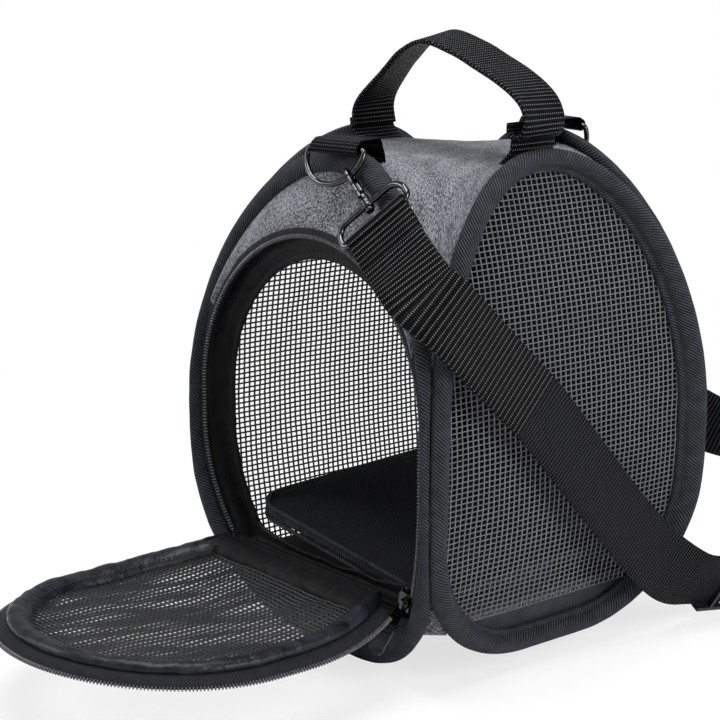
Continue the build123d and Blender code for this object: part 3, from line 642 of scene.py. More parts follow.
# ---------------------------------------------------------------- padded borders
# Share of the way from a rim's outer to its inner edge, and how far it stands proud there
BORDER_FACE = ((0.05, -5.0), (0.0, -3.4), (0.012, -1.6), (0.06, -0.1), (0.14, 1.0), (0.26, 1.9), (0.42, 2.3),
               (0.56, 2.0), (0.70, 1.2), (0.82, 0.1), (0.92, -1.2), (0.985, -2.4), (1.0, -3.6))
# Distance beyond the inner edge, and how far proud: a side rim's lip, and the back rim's plain edge
SIDE_LIP = ((0.5, -4.5), (1.6, -5.0), (2.9, -5.6), (3.2, -6.8), (2.6, -8.0), (-2.0, -8.0), (-2.0, -5.4))
BACK_LIP = ((0.0, -5.0),)


def in_corner(p):
    """Keep a point of the front wall inside its quarter of the plan."""
    p.x = max(-abs(p.y) + 0.15, min(abs(p.y) - 0.15, p.x))
    return p


def rim_row(outer, inner, swell, seed):
    """A padded rim's section between its outer and inner edge."""
    row = []
    for share, off in BORDER_FACE:
        flat = outer.lerp(inner, share)
        puff = swell * crumple((flat.x, flat.y, seed), 9) if 0 < share < 1 else 0
        row.append(wall_point(flat.x, flat.y, off + puff))
    return row


def border_rows(lift, lip):
    """Sections of a rim that is as wide all round a wall."""
    rows = []
    for i in range(240):
        t = i / 240
        row = rim_row(wall_outline(t, 0, 0, 0, lift), wall_outline(t, *RIM, lift), 0.25, lift)
        for extra, off in lip:
            flat = wall_outline(t, *(width + extra for width in RIM), lift)
            row.append(wall_point(flat.x, flat.y, off))
        rows.append([in_corner(p) for p in row])
    return rows


for name, turn, lift, lip in (("right_border", 90, LIFT, SIDE_LIP), ("left_border", -90, LIFT, SIDE_LIP),
                              ("back_border", 180, 0.0, BACK_LIP)):
    rows = [[turned(p, turn) for p in row] for row in border_rows(lift, lip)]
    rim = grid_piece(name + "_padded", rows, wrap_rows=True, wrap_line=True)
    finish_piece(rim, "carrier", "black_twill", BLACK_TWILL, name)

# The front border runs from the wall's outline to the door opening and the crown
crown = [Vector((CROWN_HALF * cos(pi * i / 96), SHOULDER + CROWN_RISE * sin(pi * i / 96))) for i in range(97)]
hole = door_path(5.0)
hole += [hole[-1].lerp(hole[0], i / 60) for i in range(1, 60)]
opening_at, crown_at = polar(hole, MIDDLE), polar(crown, MIDDLE)
rows = []
for i in range(300):
    outer = wall_outline(i / 300, 0, 0, 0)
    way = outer - MIDDLE
    angle = atan2(way.y, way.x)
    reach = max(opening_at(angle), crown_at(angle) if way.y > -4 else 0)
    inner = MIDDLE + way.normalized() * reach
    row = rim_row(outer, inner, 0.3, 50) + [wall_point(inner.x, inner.y, -5.0)]
    rows.append([in_corner(p) for p in row])
front_rim = grid_piece("front_border_padded", rows, wrap_rows=True, wrap_line=True)
finish_piece(front_rim, "carrier", "black_twill", BLACK_TWILL, "front_border")

# ---------------------------------------------------------------- mesh walls
CELL_X, CELL_Z = 3.75, 2.95         # from strand to strand
STATION = 6.0                       # from point to point along a strand
SIDE_NET, DOOR_NET = -8.5, -3.6     # how far proud of its surface each mesh lies
WAVER = 0.12                        # how far a strand strays from its place


def inside_run(test, stations):
    """The stations inside an outline, carried on to its very edge at both ends."""
    kept = [i for i, p in enumerate(stations) if test(*p)]
    if not kept:
        return []
    run = stations[kept[0]:kept[-1] + 1]
    for end, beyond in ((0, kept[0] - 1), (len(run), kept[-1] + 1)):
        if 0 <= beyond < len(stations):
            near, far = (run[0] if end == 0 else run[-1]), stations[beyond]
            for halving in range(7):
                middle = near.lerp(far, 0.5)
                near, far = (middle, far) if test(*middle) else (near, middle)
            run = [near] + run if end == 0 else run + [near]
    return run


def lattice(name, test, low, high, half, place, material, strand):
    """Mesh of strands both ways, the upright ones a little further out than the level ones."""
    rises = [low + STATION * k for k in range(int((high - low) / STATION) + 1)]
    spans = [STATION * k - half for k in range(int(2 * half / STATION) + 1)]
    upright, level = [], []
    columns = int(half / CELL_X)
    for x in (i * CELL_X for i in range(-columns, columns + 1)):
        run = inside_run(test, [Vector((x, z)) for z in rises])
        if len(run) > 1:
            upright.append([place(p.x + WAVER * crumple((p.x, p.y, 3), 14), p.y, 0.18) for p in run])
    for z in (low + j * CELL_Z for j in range(int((high - low) / CELL_Z) + 1)):
        run = inside_run(test, [Vector((x, z)) for x in spans])
        if len(run) > 1:
            level.append([place(p.x, p.y + WAVER * crumple((p.x, p.y, 9), 14), -0.18) for p in run])
    return join(name, [threads(name + "_upright", upright, strand, 6, material),
                       threads(name + "_level", level, strand * 0.86, 6, material)])


side_test = inside(outline(240, *RIM, LIFT), SIDE_MIDDLE, 0.8)


def side_surface(turn, seed):
    """The slack surface of a side wall's mesh."""
    def place(x, z, proud):
        slack = 0.7 * crumple((x, z, seed), 26) + 0.45 * crumple((x * 0.6 + z, z, seed + 5), 11)
        return turned(wall_point(x, z, SIDE_NET + proud * 0.6 + min(0.25, slack)), turn)
    return place


# The right mesh takes the strand colour painted lit, the left the plain black strand
for name, turn, seed, yarn, strand in (("right_mesh", 90, 11, LIT_STRAND_PAINTED, 0.38),
                                       ("left_mesh", -90, 31, MESH_STRAND, 0.62)):
    net = lattice(name + "_woven", lambda x, z: z > 32.5 and side_test(x, z), 33.3, 268, 90,
                  side_surface(turn, seed), yarn, strand)
    finish_piece(net, "carrier", "black_mesh", yarn, name)

# Plain cloth below the side mesh, pinched where it is gathered
for name, turn in (("right_lower_panel", 90), ("left_lower_panel", -90)):
    rows, backs = [], []
    for i in range(61):
        x = -66 + 132 * i / 60
        low = min(31.5, next((z for z in (19.2 + 0.3 * k for k in range(60)) if side_test(x, z)), 32))
        row = []
        for k in range(11):
            z = low + (33.1 - low) * k / 10
            gather = 0.5 * crumple((x, z, 2), 7) + 0.9 * exp(-((x + 4) / 5) ** 2) * sin(k / 10 * pi)
            row.append(turned(wall_point(x, z, -8.4 + min(0.15, gather - 0.5)), turn))
        rows.append(row)
        backs.append([turned(Vector((0, 1, 0)), turn)] * 11)
    cloth = closed_cloth(name + "_sewn", rows, backs, 1.3)
    finish_piece(cloth, "carrier", "black_twill", LOWER_TWILL, name)

# ---------------------------------------------------------------- heather cloth
SWEEP, DROP, RIDGE = radians(78), 146.0, 271.0
RIM_BACK, LIP_BACK = 5.2, 9.4       # how deep a rim's back and a side rim's lip lie
HEM = 0.07                          # share of the top's reach that is carried to the rims


def saddle(a, b):
    """Point of the top, which falls away in a curve both to the sides and to the ends."""
    across, lengthwise = 1 - cos(a), 1 - cos(b)
    x = sin(a) * (depth(WALL, RIDGE - DROP * lengthwise) - 8.6)
    y = sin(b) * (depth(WALL, RIDGE - DROP * across) - 7.3)
    return Vector((x, y, RIDGE - DROP * across * lengthwise))


under_side = inside(outline(240, 11.0, 7, 8, LIFT), SIDE_MIDDLE)
under_end = inside(outline(240, 13.0, 13.5, 9), MIDDLE)


def hemmed(p, share, axis, hidden):
    """Carry the top's last rows out to the back of a rim, or short of the lip and the panel inside it."""
    reach = depth(WALL, p.z) - (LIP_BACK if hidden(p[1 - axis], p.z) else RIM_BACK)
    p[axis] += (copysign(reach, p[axis]) - p[axis]) * max(0.0, min(1.0, (share - 1 + HEM) / HEM))


rows, backs = [], []
for i in range(61):
    a = SWEEP * (2 * i / 60 - 1)
    row, back = [], []
    for j in range(61):
        b = SWEEP * (2 * j / 60 - 1)
        p = saddle(a, b)
        hemmed(p, abs(a) / SWEEP, 0, under_side)
        hemmed(p, abs(b) / SWEEP, 1, under_end)
        edge = min(1.0, (1 - abs(2 * i / 60 - 1)) * 6, (1 - abs(2 * j / 60 - 1)) * 6)
        p.z += edge * (0.9 * crumple(p, 30, 4) + 0.35 * crumple(p, 11, 7))
        row.append(p)
        back.append(Vector((-sin(a), -sin(b), -cos(a) * cos(b))).normalized())
    rows.append(row)
    backs.append(back)
top = closed_cloth("top_heather", rows, backs, 2.0, flip=True)
finish_piece(top, "carrier", "heather_cloth", HEATHER_CLOTH, "top_panel")

# The crescent over the door, between the front border and the zip's tape
rows, backs = [], []
for i in range(73):
    a = radians(27 + 126 * i / 72)
    z = SHOULDER + (CROWN_RISE + 2.6) * sin(a)
    outer = Vector(((CROWN_HALF + 2.6) * cos(a), -depth(WALL, z) + 3.4, z))
    z = ARCH + (CROWN_HALF + 0.3) * sin(a)
    inner = Vector(((CROWN_HALF + 0.3) * cos(a), -depth(ZIP, z), z))
    row = []
    for k in range(13):
        p = outer.lerp(inner, k / 12)
        p.y -= sin(pi * k / 12) * (3.6 + 0.35 * crumple(p, 12, 2))
        row.append(p)
    rows.append(row)
    backs.append([Vector((0, 1, 0))] * 13)
crescent = closed_cloth("front_heather", rows, backs, 1.6, flip=True)
finish_piece(crescent, "carrier", "heather_cloth", HEATHER_CLOTH, "front_panel")


def wall_cloth(name, edges, floor, front, thickness, seed, swell):
    """Cloth filling the back wall's outline: rings from its middle to its edge, and back behind it."""
    rows = []
    edge = outline(160, *edges)
    shares = (0.12, 0.36, 0.56, 0.72, 0.84, 0.92, 0.97, 1)
    for surface, order in ((front, shares), (front - thickness, shares[::-1])):
        for share in order:
            row = []
            for p in edge:
                q = MIDDLE.lerp(p, share)
                q.y = max(q.y, floor)
                puff = swell * (1 - share ** 3) + 0.5 * (1 - share ** 6) * crumple((q.x, q.y, seed), 22)
                row.append(turned(wall_point(q.x, q.y, surface + puff), 180))
            rows.append(row)
    return grid_piece(name, rows, wrap_line=True, caps=True, flip=True)


back_cloth = wall_cloth("back_heather", (13.7, 9.2, 10.2), 0, -2.6, 2.2, 3, 1.2)
lay_flat(back_cloth, (1, 0, 0), (0, 0, 1))
finish_piece(back_cloth, "carrier", "heather_cloth", HEATHER_CLOTH, "back_panel")
lining = wall_cloth("back_lining_sewn", (11.7, 7.2, 8.2), 34.6, -5.4, 1.3, 8, 0.0)
finish_piece(lining, "carrier", "black_twill", BLACK_SATIN, "back_lining")


def rounded_box(half_x, half_y, corner, around=11):
    """Points round a rectangle with rounded corners."""
    points = []
    for cx, cy, first in ((1, 1, 0), (-1, 1, 90), (-1, -1, 180), (1, -1, 270)):
        points += arc(cx * (half_x - corner), cy * (half_y - corner), corner, first, first + 90, around)
    return filled(points, 8)


def slab(name, edge, levels):
    """Closed pad from an outline: levels of share and height, from the top middle to the bottom middle."""
    rows = [[Vector((p.x * share, p.y * share, z)) for p in edge] for share, z in levels]
    return grid_piece(name, rows, wrap_line=True, caps=True, flip=True)


# The bottom: a sheet, and a strip up the inside of each corner, given as height, reach and half width
UNDER = 31.5                        # height of the bottom panel's lower face
FLOOR_X = depth(WALL, UNDER) - 10.4
FLOOR_Y = FLOOR_X + 3
STRIP = ((UNDER, 83.2, 7.8), (52.0, 87.6, 4.9), (70.0, 90.2, 2.8))
under = slab("bottom_sheet", rounded_box(FLOOR_X, FLOOR_Y, 5),
             ((0.1, 34), (0.5, 34), (0.8, 34), (0.985, 34), (1, 33.4), (1, 32.1),
              (0.985, UNDER), (0.8, UNDER), (0.5, UNDER), (0.1, UNDER)))
lay_flat(under, (1, 0, 0), (0, 1, 0))
pieces = [under]
for quarter in range(4):
    rows = []
    for i in range(25):
        z = UNDER + (STRIP[2][0] - UNDER) * i / 24
        (z0, r0, h0), (z1, r1, h1) = STRIP[:2] if z < STRIP[1][0] else STRIP[1:]
        k = (z - z0) / (z1 - z0)
        reach, wide = r0 + (r1 - r0) * k, h0 + (h1 - h0) * k
        row = []
        for side, across in ((1, (-1, -0.5, 0, 0.5, 1)), (-1, (1, 0.5, 0, -0.5, -1))):
            for s in across:
                bow = side * 0.9 + 0.5 * (1 - s * s) + 0.3 * crumple((s * wide, z, quarter), 9)
                x, y = reach + (s * wide + bow) / sqrt(2), -reach + (s * wide - bow) / sqrt(2)
                row.append(turned(Vector((x, y, z)), 90 * quarter))
        rows.append(row)
    pieces.append(grid_piece("corner_strip", rows, wrap_line=True, caps=True))
finish_piece(join("bottom_heather", pieces), "carrier", "heather_cloth", HEATHER_CLOTH, "bottom_panel")


# ---------------------------------------------------------------- door opening and zip
def on_zip(flat, off=0.0):
    return wall_point(flat.x, flat.y, off, ZIP)


def fold(p):
    """Fold a point of the shut door down about its hinge."""
    return Vector((p.x, HINGE_Y - (p.z - HINGE_Z), HINGE_Z + (p.y - HINGE_Y)))


def opening_band(name, profile, start=None, puff=0.0, seed=0, door=False, closed=False, sill_sag=0.0):
    """Strip that follows the arch, its section given as pairs of growth and height proud of the zip."""
    paths = [door_path(grow, start, (40, 6, 96)) for grow, off in profile]
    rows = []
    for points in zip(*paths):
        row = []
        for p, (grow, off) in zip(points, profile):
            ripple = crumple((p.x, p.y, seed + off * 0.4), 10) + 0.5 * crumple((p.x, p.y, seed + 9), 4.5)
            row.append(on_zip(p, off + puff * ripple))
        rows.append(row)
    if closed:
        first, last = rows[-1], rows[0]
        for k in range(1, 31):
            sag = sill_sag * sqrt(sin(pi * k / 31))
            row = []
            for a, b, (grow, off) in zip(first, last, profile):
                p = a.lerp(b, k / 31)
                p.y -= puff * crumple((p.x, p.z, seed + off * 0.4), 10)
                p.z -= max(0.0, p.z - SILL) * sag * (1 + 0.3 * crumple((p.x, 5, seed), 18))
                row.append(p)
            rows.append(row)
    if door:
        rows = [[fold(p) for p in row] for row in rows]
    return grid_piece(name, rows, wrap_rows=closed, wrap_line=True, caps=not closed, flip=True)


tape = opening_band("body_tape_woven", ((0.4, -1.1), (0.4, -0.5), (3.1, 0.3), (5.6, 0.5), (5.6, -0.5), (3.1, -0.6)), 50)
finish_piece(tape, "carrier", "zip_tape", ZIP_TAPE, "body_zip_tape")
tape = opening_band("door_tape_woven", ((-9.5, -5.4), (-9.5, -4.6), (-5.0, -1.3), (-1.95, 0.5), (-1.95, -0.5),
                                        (-5.0, -2.3)), 54, 0.12, door=True)
finish_piece(tape, "door", "zip_tape", ZIP_TAPE, "door_zip_tape")


TOOTH_PITCH, DOOR_STITCH, TAB_STITCH = 1.8, 3.2, 2.6


def fine_path(grow, start=None):
    return door_path(grow, start, (60, 10, 120))


def teeth(name, grow, start, door):
    """A coil's teeth along the arch."""
    stations = []
    for p, run in along([on_zip(q) for q in fine_path(grow, start)], TOOTH_PITCH):
        slope = -(p.z - FULLEST) / (ZIP[1] if p.z > FULLEST else ZIP[2])
        face = Vector((0, -1, -slope)).normalized()
        if door:
            p, face, run = fold(p), Vector((0, -face.z, face.y)), Vector((run.x, -run.z, run.y))
        stations.append((p, run, face))
    return grains(name, stations, 0.95, 2.9, 2.5, ZIP_TEETH)


finish_piece(teeth("body_coil", 1.3, 50, False), "carrier", "zip_teeth", ZIP_TEETH, "body_zip_teeth")
finish_piece(teeth("door_coil", -1.3, 54, True), "door", "zip_teeth", ZIP_TEETH, "door_zip_teeth")

facing = opening_band("opening_facing_cloth",
                      ((2.0, -1.6), (0.7, -1.6), (0.5, -4.5), (-0.3, -8.0), (-3, -10.3), (-8, -10.6),
                       (-12.3, -10.7), (-12.4, -11.9), (-6, -12.0), (1.9, -12.0), (2.1, -8.0)),
                      None, 0.45, 5, closed=True, sill_sag=0.6)
finish_piece(facing, "carrier", "black_twill", BLACK_SATIN, "opening_facing")

hinge_line = [Vector((-70 + 140 * i / 40, HINGE_Y, HINGE_Z)) for i in range(41)]
hinge = threads("hinge_fold", [hinge_line], 1.75, 12, BLACK_SATIN)
finish_piece(hinge, "carrier", "black_twill", BLACK_SATIN, "hinge_binding")

# Door binding: a padded satin roll round the door's mesh, and a flap from it to the hinge
binding = opening_band("door_binding_padded",
                       ((-9.4, -4.2), (-8.3, -5.6), (-8.6, -7.6), (-10.4, -9.4), (-13.2, -10.0), (-16.4, -9.4),
                        (-19.4, -7.6), (-21.4, -5.2), (-22.0, -2.8), (-21.4, -0.6), (-19, 0.6), (-15, 0.4),
                        (-11.4, -1.6)), None, 0.8, 17, door=True, closed=True)
rows = []
for i in range(33):
    x = -62 + 124 * i / 32
    ripple = 0.3 * crumple((x, 0, 4), 8)
    rows.append([fold(on_zip(Vector((x, z)), off + ripple))
                 for z, off in ((46.8, -1), (50, -0.6), (54, -0.6), (54, -6.5), (50, -6.8), (46.8, -6.2))])
flap = grid_piece("door_flap", rows, wrap_line=True, caps=True)
stitch_path = [fold(on_zip(p, -7.6)) for p in fine_path(-19.4)]
stitches = grains("door_stitches", [(p, run, Vector((0, 0, 1))) for p, run in along(stitch_path, DOOR_STITCH)],
                  2.3, 0.7, 0.7, THREAD)
roll = join("door_binding_sewn", [binding, flap])
finish_piece(roll, "door", "black_twill", DOOR_SATIN, "door_binding")
# The flap and the roll's run within 24 mm of the hinge take the darker lining satin: painted shade by the hinge
roll.data.materials.append(BLACK_SATIN)
for face in roll.data.polygons:
    face.material_index = int(face.center.y > (HINGE_Y - 24 + CENTRE) * MM)
finish_piece(stitches, "door", "black_twill", None)


def door_surface(x, z, proud):
    """The slack surface of the door's mesh."""
    slack = 1.4 * crumple((x, z, 44), 30) + 0.8 * crumple((x, z * 0.6 + x, 41), 12)
    return fold(on_zip(Vector((x, z)), DOOR_NET + proud + slack))


net = lattice("door_mesh_woven", inside(door_path(-20.5), MIDDLE), 66.5, 212, 72, door_surface, MESH_STRAND, 0.72)
finish_piece(net, "door", "black_mesh", MESH_STRAND, "door_mesh")

# ---------------------------------------------------------------- mat and board
MAT_TURN = (Matrix.Translation((-0.5, 0.5, 57)) @ Matrix.Rotation(radians(2.5), 4, "X")
            @ Matrix.Rotation(radians(7), 4, "Y"))
SWELL_FRAMES = 20
WELT_SHARE, WELT_HEIGHTS = 0.975, (3.9, -3.5)
MAT_X, MAT_Y, MAT_CORNER = 80.5, 81.0, 20
mat_edge = rounded_box(MAT_X, MAT_Y, MAT_CORNER, 9)
mat = slab("mat_padded", mat_edge,
           ((0.08, 3.0), (0.2, 3.2), (0.35, 3.4), (0.5, 4.0), (0.62, 4.7), (0.74, 5.2), (0.86, 5.1), (0.94, 4.5),
            (0.985, 3.7), (0.998, 2.6), (1.004, 1.2), (1.006, 0), (1.004, -1.2), (0.998, -2.4), (0.985, -3.3),
            (0.94, -3.9), (0.82, -4.3), (0.6, -4.4), (0.3, -4.4), (0.08, -4.4)))
mat.data.transform(Matrix.Translation((0, CENTRE * MM, 0)) @ Matrix.Diagonal((MM, MM, MM, 1)) @ MAT_TURN
                   @ Matrix.Diagonal((1 / MM, 1 / MM, 1 / MM, 1)) @ Matrix.Translation((0, -CENTRE * MM, 0)))


def settled(piece, voxel, pressure, furthest):
    """Swell a pad as sewn cloth under its filling's pressure, no point further than a limit."""
    scene = bpy.context.scene
    even_out = piece.modifiers.new("even cloth", "REMESH")
    even_out.mode, even_out.voxel_size = "VOXEL", voxel * MM
    even_mesh = result_of(piece)
    piece.modifiers.clear()
    old = piece.data
    piece.data = even_mesh
    bpy.data.meshes.remove(old)
    start = [v.co.copy() for v in even_mesh.vertices]
    swell = piece.modifiers.new("swell", "CLOTH")
    swell.settings.use_pressure = True
    swell.settings.uniform_pressure_force = pressure
    swell.settings.effector_weights.gravity = 0.0
    swell.point_cache.frame_end = SWELL_FRAMES
    for frame_number in range(1, SWELL_FRAMES + 1):
        scene.frame_set(frame_number)
    swollen = result_of(piece)
    moved = [v.co.copy() for v in swollen.vertices]
    bpy.data.meshes.remove(swollen)
    piece.modifiers.clear()
    for vertex, before, after in zip(even_mesh.vertices, start, moved):
        step = after - before
        vertex.co = before + step * min(1.0, furthest * MM / max(step.length, 1e-9))
    fine = piece.modifiers.new("fine", "SUBSURF")
    fine.levels = fine.render_levels = 1
    piece.data = result_of(piece)
    piece.modifiers.clear()
    piece.data.name = piece.name
    smooth_shaded(piece.data)
    scene.frame_set(1)


settled(mat, 3.2, 4.0, 1.6)
welt_lines = [[MAT_TURN @ Vector((p.x * WELT_SHARE, p.y * WELT_SHARE, height)) for p in mat_edge]
              for height in WELT_HEIGHTS]
welts = threads("mat_welts", welt_lines, 1.3, 8, MAT_EDGE, closed=(0, 1))
finish_piece(welts, "mat", "mat_cloth", MAT_EDGE)
finish_piece(mat, "mat", "mat_cloth", MAT_TWILL_PAINTED_SHADE, "floor_mat")
mat.data.materials.append(MAT_EDGE)
# Sideways faces take the lighter welt twill, the top and underside the darker copy painted in shade
for face in mat.data.polygons:
    face.material_index = int(abs(face.normal.z) < 0.55)

board = slab("board_stiff", rounded_box(FLOOR_X - 1.4, FLOOR_Y - 4.0, 5),
             ((0.1, 36.7), (0.5, 36.7), (0.985, 36.7), (1, 36.3), (1, 34.6), (0.985, 34.2), (0.5, 34.2), (0.1, 34.2)))
finish_piece(board, "carrier", "board", BOARD, "base_board")


# ---------------------------------------------------------------- webbing
def rounded(points, radii, steps):
    """Line through points with each inner corner rounded to its radius."""
    line = [points[0]]
    for a, b, c, r in zip(points, points[1:], points[2:], radii):
        u, v = (a - b).normalized(), (c - b).normalized()
        half = u.angle(v) / 2
        back = r / tan(half)
        middle = b + (u + v).normalized() * (r / sin(half))
        start, stop = b + u * back - middle, b + v * back - middle
        turn = start.angle(stop)
        for i in range(steps + 1):
            k = i / steps
            line.append(middle + (start * sin((1 - k) * turn) + stop * sin(k * turn)) / sin(turn))
    return line + [points[-1]]


def even(points, pitch):
    """The line again with even steps."""
    return [p for p, run in along(points, pitch, 0)] + [points[-1]]


def strip(name, line, across, thickness, width):
    """Webbing along a line, across a direction given once or for each point, with soft rounded edges."""
    half, t = width / 2, thickness / 2
    edge = 1 - 0.5 / half
    rows = []
    for i, p in enumerate(line):
        run = (line[min(i + 1, len(line) - 1)] - line[max(i - 1, 0)]).normalized()
        side = across(i) if callable(across) else across
        side = (side - run * side.dot(run)).normalized()
        up = run.cross(side)
        row = [p + side * half * s + up * t for s in (-edge, -0.6, -0.2, 0.2, 0.6, edge)]
        row.append(p + side * half)
        row += [p + side * half * s - up * t for s in (edge, 0.6, 0.2, -0.2, -0.6, -edge)]
        row.append(p - side * half)
        rows.append(row)
    return grid_piece(name, rows, wrap_line=True, caps=True)


HANDLE_THICK, HANDLE_WIDTH = 2.4, 31.0
for side, sign, x in (("left", -1, -67.5), ("right", 1, 67.0)):
    bends = [Vector((sign * 56, 0, 268.5)), Vector((x - sign * 1.5, 0, 277)), Vector((x - sign * 0.6, 0, 283.5))]
    foot = strip(f"handle_foot_{side}_web", even(rounded(bends, [8], 10), 1.2), Vector((0, 1, 0)),
                 HANDLE_THICK, HANDLE_WIDTH)
    finish_piece(foot, "carrier", "black_webbing", HANDLE_WEB, f"handle_foot_{side}")


def through(points, steps=12):
    """Smooth line through every point."""
    line = []
    for i in range(len(points) - 1):
        a, b = points[max(0, i - 1)], points[i]
        c, d = points[i + 1], points[min(len(points) - 1, i + 2)]
        for k in range(steps):
            t = k / steps
            line.append(b + (c - a) * (t / 2) + (a * 2 - b * 5 + c * 4 - d) * (t * t / 2)
                        + (b * 3 - a - c * 3 + d) * (t ** 3 / 2))
    return line + [points[-1]]


# The handle leans up to a crown left of the middle, and its right end turns under and back up
HANDLE_LINE = ((-63.6, 279), (-65.2, 287), (-62, 295), (-53, 304.5), (-40, 316), (-27, 326), (-9, 332), (15, 327.5),
               (34, 321), (50, 315), (63, 308.5), (71, 302), (74.5, 294), (72.5, 287), (67, 284.8), (62.8, 287),
               (62, 292.5))
handle_line = even(through([Vector((x, 0, z)) for x, z in HANDLE_LINE]), 2.1)


def handle_lean(i):
    """The webbing's width direction: turned a little away from square above its ends."""
    share = max(0.0, min(1.0, (handle_line[i].z - 284) / 28))
    return Vector((-0.22 * share, 1.0, 0.12 * share))


handle = strip("handle_web", handle_line, handle_lean, HANDLE_THICK, HANDLE_WIDTH)
finish_piece(handle, None, "black_webbing", HANDLE_WEB, "handle_webbing")
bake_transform(handle)


# ---------------------------------------------------------------- rings, hooks and strap loops
class Place:
    """A local frame: origin and two directions, the third square to both."""

    def __init__(self, origin, x, z):
        self.o, self.z = Vector(origin), Vector(z).normalized()
        self.x = (Vector(x) - self.z * Vector(x).dot(self.z)).normalized()
        self.y = self.z.cross(self.x)

    def at(self, x, y, z):
        return self.o + self.x * x + self.y * y + self.z * z


def hang(bar, turn, lean, angle, pull):
    """Frames of a ring at its bar, of the hook that pulls on it, and of the tab that holds the bar."""
    along_bar = turned(Vector((1, 0, 0)), turn)
    outward = turned(along_bar, -90)
    up = Vector((0, 0, 1)) * cos(radians(lean)) - outward * sin(radians(lean))
    a = radians(angle)
    contact = Vector(bar) + along_bar * (BOW * cos(a)) - up * (BEND + BOW * sin(a))
    away = (Vector(pull) - contact).normalized()
    width = along_bar * sin(a) + up * cos(a)
    return Place(bar, along_bar, along_bar.cross(up)), Place(contact, width, -away), Place(bar, -outward, along_bar)


def lathe(name, place, profile, around=24):
    """Turned piece about a place's own z: radius and height pairs."""
    rows = [[place.at(r * cos(2 * pi * k / around), r * sin(2 * pi * k / around), z) for k in range(around)]
            for r, z in profile]
    return grid_piece(name, rows, wrap_line=True, caps=True)


STRAP, FOLD, LOOP_LOW = 38.0, 22.0, -37.6      # webbing's width, fold's length, height of the loop's far bar
DOUBLED, SINGLE = 3.2, 1.6                     # the strap's thickness
WIRE, LOOP_WIRE = 1.5, 1.8                     # radius of the wire of rings and hooks, and of loops
TAB_HALF = 15
BAR_HALF, BEND, BOW = 15.5, 2.5, 18            # a ring's half bar, its corners' radius, its round part's radius
LOOP_CORNERS = ((13.2, -32.2, 8.4, 90), (18.0, -34.0, 3.6, 0), (-18.0, -34.0, 3.6, -90), (-13.2, -32.2, 8.4, -180))
COLLAR = ((0.2, -17), (2.2, -17), (2.9, -17.5), (3.0, -18.4), (2.7, -18.8), (3.0, -19.2), (2.9, -20.3), (2.4, -20.6),
          (0.2, -20.6))
SHAFT = ((0.2, -20), (1.6, -20), (1.6, -27), (2.3, -27), (2.5, -27.4), (2.4, -28.3), (1.6, -28.8), (0.2, -28.8))
BARREL = ((1.66, -20.8), (2.9, -20.8), (3.4, -21.3), (3.4, -23), (3.1, -23.4), (3.4, -23.8), (3.4, -26), (2.9, -26.6),
          (1.66, -26.6))
THUMB = ((0.1, -1.6), (0.8, -1.5), (1.1, -0.9), (1.1, 0.2), (0.6, 0.4), (0.1, 0.4))
HOOK_BOW = even(rounded([Vector(c) for c in ((0, 0, -18), (0, 0, -16), (0, 4, -11.5), (0, 4, 3.25), (0, -4, 3.25),
                                             (0, -4, -3.0))], [2.2, 2.2, 3.9, 3.9], 14), 0.8)
EAR = ((0, -3.4, -19.5), (0, -3.4, -17.6), (0, -3.4, -15.9))
LEVER = ((0, -3.42, -15.0), (0, -3.6, -11), (0, -3.85, -7), (0, -4, -3.5))


def ring_path():
    """A D-ring's wire: straight along its bar and half round below it."""
    bar = [(BAR_HALF * (i / 4 - 1), 0) for i in range(9)]
    return (bar + arc(BAR_HALF, -BEND, BEND, 90, 0, 5)[1:] + arc(0, -BEND, BOW, 0, -180, 40)[1:-1]
            + arc(-BAR_HALF, -BEND, BEND, 180, 90, 5)[:-1])


def fold_path():
    """Section of the strap's webbing, folded round the loop's far bar."""
    inner, outer, end = 2.05, 3.65, LOOP_LOW - FOLD
    return ([(1.6, end), (1.6, LOOP_LOW - outer - 0.6)] + arc(0, LOOP_LOW, outer, -64, 244, 30)
            + [(-1.6, LOOP_LOW - outer - 0.6), (-1.6, end), (-0.02, end), (-0.02, LOOP_LOW - inner - 1.1)]
            + arc(0, LOOP_LOW, inner, -110, -430, 24) + [(0.02, LOOP_LOW - inner - 1.1), (0.02, end)])


def tab_section():
    """Section of a sewn tab's webbing, round the ring's bar and down at its inner end."""
    bends = [Vector((x, y, 0)) for x, y in ((3.0, 2.9), (17.5, 2.6), (20.5, -4.6), (21.6, -9.4))]
    middle = rounded(bends, [2.5, 1.4], 6)
    upper, under = [], []
    for i, p in enumerate(middle):
        run = (middle[min(i + 1, len(middle) - 1)] - middle[max(0, i - 1)]).normalized()
        normal = Vector((-run.y, run.x, 0))
        upper.append(p + normal * 1.7)
        under.append(p - normal * 1.7)
    nose = [Vector((x, y, 0)) for x, y in arc(0, 0, 3.45, 100, 320, 20)]
    return upper[::-1] + [Vector((0.5, 4.3, 0))] + nose + [Vector((3.6, 0.6, 0))] + under


